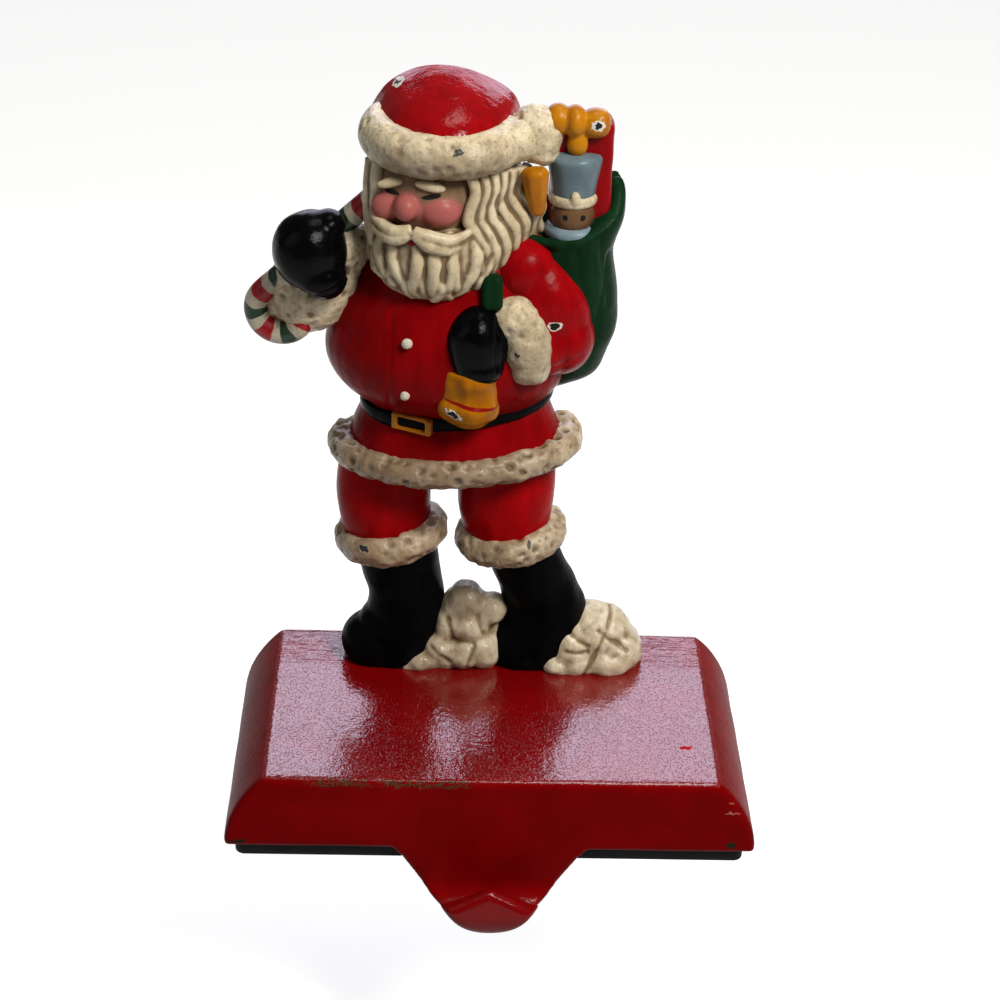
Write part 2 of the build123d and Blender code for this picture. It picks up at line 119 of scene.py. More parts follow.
def roll(x, depth, z, w, h, thick, tall, lean=0):
    # a ring of fur round a limb: half sizes to the middle of the fur, then of the fur itself
    bm = bmesh.new()
    thin = 0.1
    profile = Matrix.Translation((1, 0, 0)) @ Matrix.Rotation(pi / 2, 4, "X")
    ring = bmesh.ops.create_circle(bm, cap_ends=False, segments=16, radius=thin, matrix=profile)["verts"]
    bmesh.ops.spin(bm, geom=ring + list({e for v in ring for e in v.link_edges}), cent=(0, 0, 0),
                   axis=(0, 0, 1), angle=2 * pi, steps=64, use_merge=True)
    for v in bm.verts:
        out = Vector((v.co.x, v.co.y, 0))
        way = out.normalized()
        off = (out.length - 1) / thin
        v.co = Vector((way.x * (w + off * thick), way.y * (h + off * thick), v.co.z / thin * tall))
    bmesh.ops.recalc_face_normals(bm, faces=bm.faces)
    place = Matrix.Translation((x, -depth, z)) @ Matrix.Rotation(radians(lean), 4, "Y")
    bmesh.ops.transform(bm, matrix=place, verts=bm.verts)
    return bm


def lathe(x, depth, z, profile, lean=0, pitch=0, squash=1.0, sides=36):
    # turned form: radius and height pairs from the foot up
    run = [Matrix.Translation((0, 0, h)) @ Matrix.Diagonal((r, r * squash, 1, 1)) for r, h in profile]
    bm = bridged(run, sides)
    turn = Euler((radians(pitch), radians(lean), 0)).to_matrix().to_4x4()
    bmesh.ops.transform(bm, matrix=Matrix.Translation((x, -depth, z)) @ turn, verts=bm.verts)
    return bm


def slab(x, depth, z, sx, sy, sz, round=0.5, lean=0, turn=0, pitch=0):
    bm = bmesh.new()
    bmesh.ops.create_cube(bm, size=1)
    bmesh.ops.scale(bm, vec=(sx, sy, sz), verts=bm.verts)
    bmesh.ops.bevel(bm, geom=bm.edges[:], offset=round, segments=4, profile=0.5, affect="EDGES", material=-1)
    place = Euler((radians(pitch), radians(lean), radians(turn))).to_matrix().to_4x4()
    bmesh.ops.transform(bm, matrix=Matrix.Translation((x, -depth, z)) @ place, verts=bm.verts)
    return bm


def packed(node):
    # a node's own mesh in millimetres, with its split vertices joined
    bm = bmesh.new()
    bm.from_mesh(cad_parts[node].data)
    bmesh.ops.remove_doubles(bm, verts=bm.verts, dist=1e-6)
    bmesh.ops.scale(bm, vec=(1000, 1000, 1000), verts=bm.verts)
    return bm


def together(forms):
    whole = bmesh.new()
    for form in forms:
        part = bpy.data.meshes.new("form")
        form.to_mesh(part)
        form.free()
        whole.from_mesh(part)
        bpy.data.meshes.remove(part)
    return whole


def placed(name, data):
    item = bpy.data.objects.new(name, data)
    scene.collection.objects.link(item)
    return item


def fused(forms, voxel, soften=3):
    # overlapping forms become one cast skin, softened like thick paint
    whole = together(forms)
    rough = bpy.data.meshes.new("rough")
    whole.to_mesh(rough)
    block = placed("rough", rough)
    remesh = block.modifiers.new("remesh", "REMESH")
    remesh.mode = "VOXEL"
    remesh.voxel_size = voxel
    cast = bpy.data.meshes.new_from_object(block.evaluated_get(bpy.context.evaluated_depsgraph_get()))
    bpy.data.objects.remove(block)
    bpy.data.meshes.remove(rough)
    whole.clear()
    whole.from_mesh(cast)
    bpy.data.meshes.remove(cast)
    smoothOver(whole, soften)
    return whole


def smoothOver(bm, passes, verts=None):
    for _ in range(passes):
        bmesh.ops.smooth_vert(bm, verts=verts or bm.verts, factor=0.5, use_axis_x=True, use_axis_y=True,
                              use_axis_z=True)
    bm.normal_update()


def lumpy(bm, size, depth, seed=0):
    bm.normal_update()
    for v in bm.verts:
        v.co += v.normal * depth * noise.noise(v.co / size + Vector((seed, 3.1 * seed, 0)))


def pitted(bm, size, depth, share=0.55, seed=0):
    # round shallow bowls, as in sculpted fur
    bm.normal_update()
    for v in bm.verts:
        far, spots = noise.voronoi(v.co / size + Vector((seed, 0, 2.3 * seed)))
        if noise.cell(spots[0] * 7.7) < share:
            v.co -= v.normal * depth * max(0.0, 1 - (far[0] / 0.52) ** 2) ** 1.5


def grooved(bm, lines, width, depth):
    # carved creases along straight lines given in the front view: x and z of both ends
    bm.normal_update()
    for v in bm.verts:
        cut = 0.0
        for x0, z0, x1, z1 in lines:
            ax, az = x1 - x0, z1 - z0
            t = max(0.0, min(1.0, ((v.co.x - x0) * ax + (v.co.z - z0) * az) / (ax**2 + az**2)))
            off = ((v.co.x - x0 - t * ax) ** 2 + (v.co.z - z0 - t * az) ** 2) ** 0.5
            cut = max(cut, 1 - off / width)
        if cut > 0 and v.normal.y < 0.3:
            v.co -= v.normal * depth * cut**1.5


def sliced(bm, place, way):
    # everything on the far side of a plane goes, and the cut is closed
    whole = bm.verts[:] + bm.edges[:] + bm.faces[:]
    bmesh.ops.bisect_plane(bm, geom=whole, plane_co=place, plane_no=way, clear_outer=True)
    bmesh.ops.holes_fill(bm, edges=[e for e in bm.edges if e.is_boundary], sides=0)


def washed(mesh, reach=6):
    # how deep each point lies between its neighbours, for the brown wash in the recesses
    count = len(mesh.vertices)

    def told(key):
        values = np.empty(count * 3)
        mesh.vertices.foreach_get(key, values)
        return values.reshape(-1, 3)

    co, normal = told("co"), told("normal")
    ends = np.empty(len(mesh.edges) * 2, int)
    mesh.edges.foreach_get("vertices", ends)
    a, b = ends.reshape(-1, 2).T
    links = np.bincount(a, minlength=count) + np.bincount(b, minlength=count) + 1e-9

    def around(value):
        total = np.zeros_like(value)
        np.add.at(total, a, value[b])
        np.add.at(total, b, value[a])
        return total / links.reshape((-1,) + (1,) * (value.ndim - 1))

    mean = co
    for _ in range(reach):
        mean = 0.5 * mean + 0.5 * around(mean)
    hollow = ((mean - co) * normal).sum(1) * 1000
    for _ in range(2):
        hollow = 0.5 * hollow + 0.5 * around(hollow)
    mesh.attributes.new("wash", "FLOAT", "POINT").data.foreach_set("value", hollow.astype(np.float32))


def finished(name, bm, paint, back=0.0, wash=6, crease=60, place=figurePlace, node="figure"):
    # cut flat at the back, brought to its place in metres, washed, painted, and set in for its node
    if back is not None:
        sliced(bm, (0, -back, 0), (0, 1, 0))
    bmesh.ops.transform(bm, matrix=place, verts=bm.verts)
    mesh = bpy.data.meshes.new(name)
    bm.to_mesh(mesh)
    bm.free()
    mesh.shade_smooth()
    mesh.set_sharp_from_angle(angle=radians(crease))
    washed(mesh, wash)
    mesh.materials.append(paint)
    piece = placed(name, mesh)
    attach(piece, "root")
    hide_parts(node)
    return piece


# paint helpers

def feed(tree, node, inputs):
    # each input takes a link or a plain value
    for key, value in inputs.items():
        if isinstance(value, bpy.types.NodeSocket):
            tree.links.new(value, node.inputs[key])
        else:
            node.inputs[key].default_value = value


def wire(tree, kind, inputs=None, **settings):
    node = tree.nodes.new(kind)
    for key, value in settings.items():
        setattr(node, key, value)
    feed(tree, node, inputs or {})
    return node


def mixed(tree, share, below, above):
    lower, upper = (c if isinstance(c, bpy.types.NodeSocket) else (*c, 1) for c in (below, above))
    return wire(tree, "ShaderNodeMix", {0: share, 6: lower, 7: upper}, data_type="RGBA").outputs[2]


def maths(tree, operation, a, b=0.0):
    return wire(tree, "ShaderNodeMath", {0: a, 1: b}, operation=operation).outputs[0]


def times(tree, a, b):
    return maths(tree, "MULTIPLY", a, b)


def plus(tree, a, b):
    return maths(tree, "ADD", a, b)


def swing(tree, cloud, reach):
    # noise turned into a swing about nought
    return times(tree, maths(tree, "SUBTRACT", cloud, 0.5), reach)


def ramp(tree, value, low, high):
    ends = {"Value": value, "From Min": low, "From Max": high}
    return wire(tree, "ShaderNodeMapRange", ends, interpolation_type="SMOOTHSTEP").outputs["Result"]


def grain(tree, coords, scale, detail=3.0, rough=0.55, stretch=None):
    if stretch:
        coords = wire(tree, "ShaderNodeMapping", {"Vector": coords, "Scale": stretch}).outputs[0]
    settings = {"Vector": coords, "Scale": scale, "Detail": detail, "Roughness": rough}
    return wire(tree, "ShaderNodeTexNoise", settings).outputs[0]


def spot(tree, coords, place, radii, turn=(0, 0, 0), soft=0.12):
    # 1 inside an oval about a place, fading out at its edge; the radii are in millimetres
    oval = {"Vector": coords, "Location": place, "Rotation": turn, "Scale": [r * 0.001 for r in radii]}
    held = wire(tree, "ShaderNodeMapping", oval, vector_type="TEXTURE").outputs[0]
    far = wire(tree, "ShaderNodeVectorMath", {0: held}, operation="LENGTH").outputs["Value"]
    return ramp(tree, far, 1 + soft, 1 - soft)


def jittered(tree, coords, reach):
    # coordinates shaken by noise, so that chips and marks get ragged edges
    settings = {"Vector": coords, "Scale": 1000.0, "Detail": 3.0}
    shift = wire(tree, "ShaderNodeTexNoise", settings).outputs["Color"]
    for operation, value in (("SUBTRACT", (0.5, 0.5, 0.5)), ("MULTIPLY", (reach, reach, reach))):
        shift = wire(tree, "ShaderNodeVectorMath", {0: shift, 1: value}, operation=operation).outputs[0]
    return wire(tree, "ShaderNodeVectorMath", {0: coords, 1: shift}, operation="ADD").outputs[0]


def fresh(name):
    # a new material with its tree, shader and object coordinates
    material = bpy.data.materials.new(name)
    material.use_nodes = True
    tree = material.node_tree
    return material, tree, tree.nodes["Principled BSDF"], wire(tree, "ShaderNodeTexCoord").outputs["Object"]


# sizes of the noises in every enamel, and what a chip lays bare
brush = {"streaks": 260.0, "stains": 320.0, "specks": 1300.0, "wash": 420.0, "sheen": 700.0,
         "sheenSwing": 0.16, "ragged": 0.0018, "chipEdge": 0.1, "chipRough": 0.35,
         "primer": (0.72, 0.70, 0.64), "iron": (0.018, 0.015, 0.014)}


def enamel(name, paint):
    # brushed gloss enamel: streaks, stains, painted spots (some of them painted shade), brown wash in the
    # recesses, chips to the iron
    material, tree, shader, coords = fresh(name)
    shaken = jittered(tree, coords, brush["ragged"])

    streaks = grain(tree, coords, brush["streaks"], 4.0, 0.6, paint.get("streakWay", (1, 1, 0.35)))
    colour = mixed(tree, ramp(tree, streaks, 0.35, 0.68), paint["shade"], paint["tone"])
    if "stain" in paint:
        cloud = ramp(tree, grain(tree, coords, brush["stains"], 5.0, 0.65), 0.50, 0.72)
        colour = mixed(tree, times(tree, cloud, paint["stain"]), colour, paint["wash"])
    if "speck" in paint:
        dots = ramp(tree, grain(tree, coords, brush["specks"], 3.0, 0.6), 0.54, 0.66)
        colour = mixed(tree, times(tree, dots, paint["speck"]), colour, paint["wash"])
    for mark in paint.get("spots", []):
        where = shaken if mark.get("ragged") else coords
        oval = spot(tree, where, mark["place"], mark["radii"], mark.get("turn", (0, 0, 0)),
                    mark.get("soft", 0.12))
        colour = mixed(tree, times(tree, oval, mark.get("share", 1.0)), colour, mark["tone"])
    if "wash" in paint:
        hollow = wire(tree, "ShaderNodeAttribute", attribute_name="wash").outputs["Fac"]
        cloud = grain(tree, coords, brush["wash"])
        hollow = plus(tree, hollow, swing(tree, cloud, paint.get("washCloud", 0.08)))
        deep = ramp(tree, hollow, *paint.get("washRange", (0.01, 0.14)))
        colour = mixed(tree, times(tree, deep, paint.get("washShare", 0.85)), colour, paint["wash"])
    sheen = grain(tree, coords, brush["sheen"], 4.0)
    rough = plus(tree, paint["rough"], swing(tree, sheen, brush["sheenSwing"]))
    for chip in paint.get("chips", []):
        turn = chip.get("turn", (0, 0, 0))
        rim = spot(tree, shaken, chip["place"], [r * chip["rim"] for r in chip["radii"]], turn,
                   brush["chipEdge"])
        core = spot(tree, shaken, chip["place"], chip["radii"], turn, brush["chipEdge"])
        colour = mixed(tree, rim, colour, chip.get("primer", brush["primer"]))
        colour = mixed(tree, core, colour, brush["iron"])
        rough = plus(tree, rough, times(tree, core, brush["chipRough"]))
    skin = grain(tree, coords, paint.get("skinScale", 1100.0), 4.0, 0.6, paint.get("skinWay"))
    relief = {"Strength": paint.get("skin", 0.12), "Distance": 0.0006, "Height": skin}
    bump = wire(tree, "ShaderNodeBump", relief).outputs[0]
    feed(tree, shader, {"Base Color": colour, "Roughness": rough, "Normal": bump,
                        "Specular IOR Level": paint.get("gloss", 0.14)})
    return material


red = {"tone": (0.30, 0.0018, 0.0038), "shade": (0.225, 0.0012, 0.0026), "rough": 0.25,
       "wash": (0.085, 0.001, 0.002), "washRange": (0.03, 0.30), "washShare": 0.7, "skin": 0.22,
       "skinScale": 560.0, "gloss": 0.07}
fur = {"tone": (0.70, 0.60, 0.41), "shade": (0.54, 0.435, 0.27), "rough": 0.30,
       "wash": (0.088, 0.050, 0.020), "washRange": (0.0, 0.12), "washShare": 0.88, "washCloud": 0.09,
       "stain": 0.42, "speck": 0.26, "skin": 0.4, "gloss": 0.3}
black = {"tone": (0.0022, 0.0022, 0.0028), "shade": (0.0012, 0.0012, 0.0016), "rough": 0.15, "skin": 0.16,
         "gloss": 0.055}
green = {"tone": (0.007, 0.031, 0.012), "shade": (0.004, 0.020, 0.007), "rough": 0.28,
         "wash": (0.002, 0.009, 0.003), "skin": 0.14, "gloss": 0.02}
gold = {"tone": (0.50, 0.19, 0.004), "shade": (0.36, 0.115, 0.003), "rough": 0.29,
        "wash": (0.10, 0.034, 0.003), "washRange": (0.02, 0.2), "skin": 0.10}
print("helpers ready")

# base with its hook tongue, cast in one
base = {"voxel": 0.52, "hookTop": 2.0, "hookFront": -26.0, "hookPasses": 12, "tone": (0.205, 0.0008, 0.0016),
        "shade": (0.165, 0.0006, 0.0012), "rough": 0.34, "gloss": 0.015, "peel": 0.24,
        "coat": {"ior": 1.85, "rough": 0.06, "onHook": 0.11}, "grime": (0.030, 0.004, 0.003),
        "grimeShare": 0.38, "rust": [(0.020, 0.011, 0.006), (0.095, 0.056, 0.030)],
        "edge": (-0.0273, 0.0200), "worn": [(-0.0372, -0.0238), (-0.0232, -0.0037)],
        "dent": {"place": (0.0398, -0.0146, 0.0205), "radii": (1.3, 0.75, 1.0)},
        "marks": [((0.0398, -0.0146, 0.0205), (1.4, 0.8, 1.0), (0.36, 0.002, 0.008)),
                  ((-0.0499, 0.0207, 0.0158), (0.4, 1.2, 0.4), (0.012, 0.004, 0.004)),
                  ((0.0490, -0.0275, 0.0057), (0.9, 1.5, 0.9), (0.026, 0.016, 0.010)),
                  ((-0.0512, -0.0275, 0.0048), (2.2, 2.0, 0.45), (0.024, 0.012, 0.006)),
                  ((0.0488, -0.0275, 0.0138), (1.5, 1.5, 0.22), (0.42, 0.13, 0.10)),
                  ((0.0482, -0.0275, 0.0162), (0.5, 1.5, 0.25), (0.42, 0.13, 0.10))]}


def castBase():
    cast = fused([packed("base")], voxel=base["voxel"])
    hook = [v for v in cast.verts if v.co.z < base["hookTop"] and v.co.y < base["hookFront"]]
    smoothOver(cast, base["hookPasses"], hook)
    lumpy(cast, size=9.0, depth=0.10, seed=4)
    return cast


def basePaint():
    material, tree, shader, coords = fresh("baseEnamel")
    x, y, z = wire(tree, "ShaderNodeSeparateXYZ", {0: coords}).outputs
    normal = wire(tree, "ShaderNodeNewGeometry").outputs["Normal"]
    facing = wire(tree, "ShaderNodeSeparateXYZ", {0: normal}).outputs
    onTop = ramp(tree, facing[2], 0.75, 0.97)
    onEnd = ramp(tree, maths(tree, "ABSOLUTE", facing[0]), 0.25, 0.55)
    shaken = jittered(tree, coords, 0.0022)
    clouds = ramp(tree, grain(tree, coords, 120.0, 4.0), 0.35, 0.7)
    colour = mixed(tree, clouds, base["shade"], base["tone"])
    lines = grain(tree, coords, 900.0, 3.0, 0.6, (0.5, 2.0, 0.5))
    grime = times(tree, ramp(tree, lines, 0.46, 0.62), onEnd)
    colour = mixed(tree, times(tree, grime, base["grimeShare"]), colour, base["grime"])

    # speckled wear down to brown iron in two stretches of the top's front edge
    edgeY, edgeZ = base["edge"]
    before = maths(tree, "ABSOLUTE", plus(tree, y, -edgeY))
    below = maths(tree, "ABSOLUTE", maths(tree, "SUBTRACT", z, edgeZ))
    ragged = times(tree, grain(tree, coords, 520.0, 4.0, 0.7), 0.0034)
    band = ramp(tree, plus(tree, plus(tree, before, below), ragged), 0.0031, 0.0024)
    stretches = []
    for low, high in base["worn"]:
        begun = ramp(tree, x, low - 0.001, low + 0.003)
        stretches.append(times(tree, begun, ramp(tree, x, high + 0.001, high - 0.003)))
    specks = ramp(tree, grain(tree, coords, 1900.0, 3.0, 0.6), 0.45, 0.53)
    worn = times(tree, times(tree, band, plus(tree, *stretches)), specks)
    rust = mixed(tree, ramp(tree, grain(tree, coords, 3000.0, 2.0), 0.4, 0.6), *base["rust"])
    colour = mixed(tree, worn, colour, rust)
    for place, radii, tone in base["marks"]:
        colour = mixed(tree, spot(tree, shaken, place, radii, soft=0.3), colour, tone)

    # orange peel with pinholes on the top, casting ripples along its back, drawn grain on the ends
    fine = times(tree, grain(tree, coords, 2600.0, 1.0), 0.22)
    peel = plus(tree, times(tree, grain(tree, coords, 800.0, 2.0, 0.5), 0.75), fine)
    holes = times(tree, ramp(tree, grain(tree, coords, 2400.0, 1.0, 0.5), 0.55, 0.68), -0.42)
    skin = plus(tree, peel, holes)
    ripples = times(tree, grain(tree, coords, 1100.0, 2.0, 0.5, (0.14, 1, 1)), ramp(tree, y, 0.0125, 0.0165))
    top = plus(tree, skin, times(tree, ripples, 2.6))
    front = times(tree, skin, 0.25)
    drawn = times(tree, lines, times(tree, onEnd, 2.0))
    height = plus(tree, drawn, wire(tree, "ShaderNodeMix", {0: onTop, 2: front, 3: top}).outputs[0])
    relief = {"Strength": base["peel"], "Distance": 0.0005, "Height": height}
    bump = wire(tree, "ShaderNodeBump", relief).outputs[0]

    # a clear coat that mirrors the room lies on the top, thinly on the hook, and not in the dent
    dent = spot(tree, shaken, base["dent"]["place"], base["dent"]["radii"], soft=0.3)
    onHook = times(tree, ramp(tree, y, -0.0285, -0.0300), base["coat"]["onHook"])
    coated = times(tree, maths(tree, "MAXIMUM", onTop, onHook), maths(tree, "SUBTRACT", 1.0, dent))
    rough = plus(tree, base["rough"], times(tree, worn, 0.4))
    feed(tree, shader, {"Base Color": colour, "Roughness": rough, "Normal": bump, "Coat Normal": bump,
                        "Coat Weight": coated, "Coat Roughness": base["coat"]["rough"],
                        "Coat IOR": base["coat"]["ior"], "Specular IOR Level": base["gloss"]})
    return material


finished("baseCasting", castBase(), basePaint(), back=None, place=millimetres, node="base",
         crease=80)
print("base cast")

# coat with the belly over the belt
coat = {"sections": [(-8.5, 5, 50.5, 22.6, 16.2), (-8.5, 5, 56, 21.3, 15.6), (-8.5, 5, 60.8, 19.3, 14.3),
                     (-8.7, 5, 63.6, 18.9, 13.9), (-9.8, 5, 66.5, 21.7, 16.3), (-10.0, 5, 70, 24.1, 18.3),
                     (-10.0, 5, 75, 25.2, 19.2), (-9.9, 5, 80, 24.3, 18.6), (-10.2, 5, 85, 22.9, 17.0),
                     (-9.8, 5, 90, 19.8, 14.8), (-9.4, 5, 95, 16.5, 12.4), (-9.4, 5, 101, 10, 8)],
        "seam": [(-22.0, 62, -21.4, 88)], "voxel": 0.5,
        "paint": {**red, "tone": (0.255, 0.0014, 0.0030), "shade": (0.19, 0.0010, 0.0021),
                  "streakWay": (1, 1, 0.25), "gloss": 0.03}}
body = fused([loft(coat["sections"])], voxel=coat["voxel"], soften=4)
grooved(body, coat["seam"], width=0.8, depth=0.22)
lumpy(body, size=7.0, depth=0.22, seed=1)
finished("coatBody", body, enamel("coatRed", coat["paint"]))

sleeve = {"forms": [(8.8, 9.0, 85.4, 8.8, 9.6, 13.2, -20), (11.6, 10.0, 79.2, 7.2, 8.6, 8.2, 0),
                    (7.4, 14.0, 78.6, 6.8, 6.4, 6.8, 0), (3.2, 9.5, 93.5, 7.6, 8.0, 6.4, -30)],
          "folds": [(9, 75.5, 15, 77.5)], "voxel": 0.45,
          "paint": {**red, "tone": (0.32, 0.0018, 0.0038), "gloss": 0.055, "streakWay": (1, 1, 0.25),
                    "chips": [chipAt(10.0, 18.3, 84.6, (1.1, 2.5, 0.6), 1.45)]}}
arm = fused([ball(*form) for form in sleeve["forms"]], voxel=sleeve["voxel"], soften=6)
grooved(arm, sleeve["folds"], width=1.6, depth=0.35)
lumpy(arm, size=6.0, depth=0.3, seed=2)
finished("sleeve", arm, enamel("sleeveRed", sleeve["paint"]), back=0.03)

legs = {"left": [(-22.6, 5.5, 28, 8.4, 8.2), (-23.0, 5.5, 33, 9.2, 9.0), (-23.3, 5.5, 39, 9.8, 9.6),
                 (-23.1, 5.5, 44, 9.8, 9.3), (-22.2, 5.5, 49, 10.2, 9.2), (-21.8, 5.5, 54, 10.4, 9.0)],
        "right": [(3.2, 5.5, 28, 8.3, 8.2), (2.7, 5.5, 33, 9.3, 9.0), (2.2, 5.5, 39, 10.1, 9.6),
                  (2.0, 5.5, 46, 10.2, 9.3), (2.2, 5.5, 54, 10.0, 9.0)]}
legRed = enamel("trouserRed",
                {**red, "tone": (0.37, 0.0015, 0.0032), "shade": (0.28, 0.0010, 0.0022), "gloss": 0.025})
for side, sections in legs.items():
    leg = fused([loft(sections)], voxel=0.45, soften=4)
    lumpy(leg, size=8.0, depth=0.45, seed=3)
    finished("trouserLeg." + side, leg, legRed, back=0.06)

hat = {"sections": [(-12.0, -4, 117.0, 14.8, 26.0), (-11.9, -4, 119.4, 15.0, 26.0),
                    (-11.7, -4, 122.2, 14.4, 25.4), (-11.6, -4, 124.6, 13.2, 23.6),
                    (-11.9, -4, 126.4, 11.6, 20.4), (-12.3, -4, 128.0, 9.2, 15.8),
                    (-12.7, -4, 129.3, 6.3, 10.6), (-13.0, -4, 130.1, 3.8, 6.0),
                    (-13.2, -4, 130.6, 1.2, 1.6)],
       "paint": {**red, "gloss": 0.2, "rough": 0.11, "skin": 0.3, "skinScale": 420.0,
                 "chips": [chipAt(-20.8, 2.7, 127.5, (0.75, 1.2, 0.65), 1.7, turn=(0, radians(-35), 0))]}}
crown = fused([loft(hat["sections"])], voxel=0.45, soften=5)
lumpy(crown, size=7.0, depth=0.22, seed=5)
finished("hatCrown", crown, enamel("hatRed", hat["paint"]), back=0.09)
print("red cloth painted")

# fur of the hat, cuffs, hem and boots
furs = {"hatBrim": {"rings": [(-12.3, 8, 119.4, 12.2, 12.0, 3.9, 4.4, 1)],
                    "balls": [(2.2, 10.5, 119.8, 4.0, 5.0, 4.2)], "back": 0.12, "pits": 0.42, "lumps": 0.2},
        "pompom": {"balls": [(5.4, 8.5, 120.4, 5.2, 5.2, 5.6), (6.2, 9.0, 117.2, 3.6, 3.8, 3.2)],
                   "back": 0.15, "pits": 0.40, "lumps": 0.3},
        "hemFur": {"rings": [(-8.5, 5, 52.6, 22.9, 15.0, 3.5, 3.25, -2.8)], "back": 0.18, "worn": True,
                   "pits": 0.85},
        "bootFur.left": {"rings": [(-21.6, 5.5, 30.4, 8.6, 8.4, 3.5, 3.6, -8.5)], "back": 0.21, "worn": True,
                         "pits": 0.75},
        "bootFur.right": {"rings": [(3.6, 5.5, 30.5, 8.4, 8.4, 3.5, 3.6, -8.5)], "back": 0.24, "worn": True,
                          "pits": 0.75},
        "cuffFur.raised": {"balls": [(-36.6, 8.2, 88.6, 8.8, 7.2, 11.4, 28),
                                     (-31.4, 7.6, 96.0, 6.0, 6.6, 5.8, 20),
                                     (-38.4, 8.8, 84.6, 6.6, 6.0, 5.0, 20),
                                     (-43.2, 7.0, 83.8, 4.4, 4.6, 5.0, 0)],
                           "back": 0.27, "pits": 0.6},
        "cuffFur.lowered": {"balls": [(4.4, 18.0, 80.8, 5.4, 6.2, 8.0, -16),
                                      (2.0, 18.0, 86.2, 5.0, 5.6, 4.2, -20),
                                      (5.2, 17.4, 76.2, 5.0, 6.0, 4.0, 0)],
                            "back": 0.30, "pits": 0.35, "lumps": 0.3}}
bare = (0.020, 0.018, 0.014)
creamFur = {**fur, "speck": 0.4,
            # the first oval, over the brim's lower half, is painted shade with some brown wash; the second
            # darkens the lowered cuff
            "spots": [markAt(-12, 22, 116.5, (15, 9, 4.4), (0.15, 0.098, 0.055), soft=0.8, share=0.6),
                      markAt(5, 20, 78, (8, 9, 8), (0.15, 0.105, 0.065), soft=0.8, share=0.42),
                      markAt(-9.4, 23.0, 121.5, (1.0, 2.0, 0.6), (0.045, 0.042, 0.032), ragged=True),
                      markAt(2.6, 23.8, 80.8, (0.62, 2.0, 0.6), bare, ragged=True)]}
# darker, more stained fur for the hem and boot cuffs, with painted shade laid over them
grimeAndShadeFur = {**fur, "tone": (0.68, 0.565, 0.39), "shade": (0.42, 0.315, 0.19), "stain": 0.7,
            "washRange": (-0.05, 0.15), "washShare": 0.8, "washCloud": 0.2,
            # soft dark ovals on the hem and both boot cuffs, strongest on the left: painted shade with some
            # dirt
            "spots": [markAt(-14, 18, 52, (26, 18, 9), (0.15, 0.082, 0.042), soft=0.8, share=0.72),
                      markAt(-24, 14, 29, (15, 16, 9), (0.19, 0.095, 0.048), soft=0.8, share=0.55),
                      markAt(1, 14, 29, (12, 16, 9), (0.15, 0.088, 0.045), soft=0.8, share=0.4),
                      markAt(7.0, 15.7, 33.4, (0.4, 2.0, 0.75), bare)],
            "chips": [chipAt(-26.95, 15.6, 31.7, (0.95, 2.0, 0.7), 1.3, primer=(0.34, 0.27, 0.18))]}
furPaints = {"clean": enamel("furCream", creamFur), "worn": enamel("furGrimeAndShade", grimeAndShadeFur)}
for name, tuft in furs.items():
    forms = [roll(*ring) for ring in tuft.get("rings", [])]
    forms += [ball(*lump) for lump in tuft.get("balls", [])]
    pile = fused(forms, voxel=0.38)
    lumps = tuft.get("lumps", 0.45)
    lumpy(pile, size=4.4, depth=lumps, seed=6)
    lumpy(pile, size=1.8, depth=0.6 * lumps, seed=7)
    pitted(pile, size=2.7, depth=tuft["pits"], share=0.5, seed=8)
    pitted(pile, size=1.4, depth=0.3 * tuft["pits"], share=0.2, seed=9)
    smoothOver(pile, 1)
    # the worn furs of the hem and boot cuffs take the darker paint with its painted shade
    finished(name, pile, furPaints["worn" if tuft.get("worn") else "clean"], back=tuft["back"])
print("fur laid")

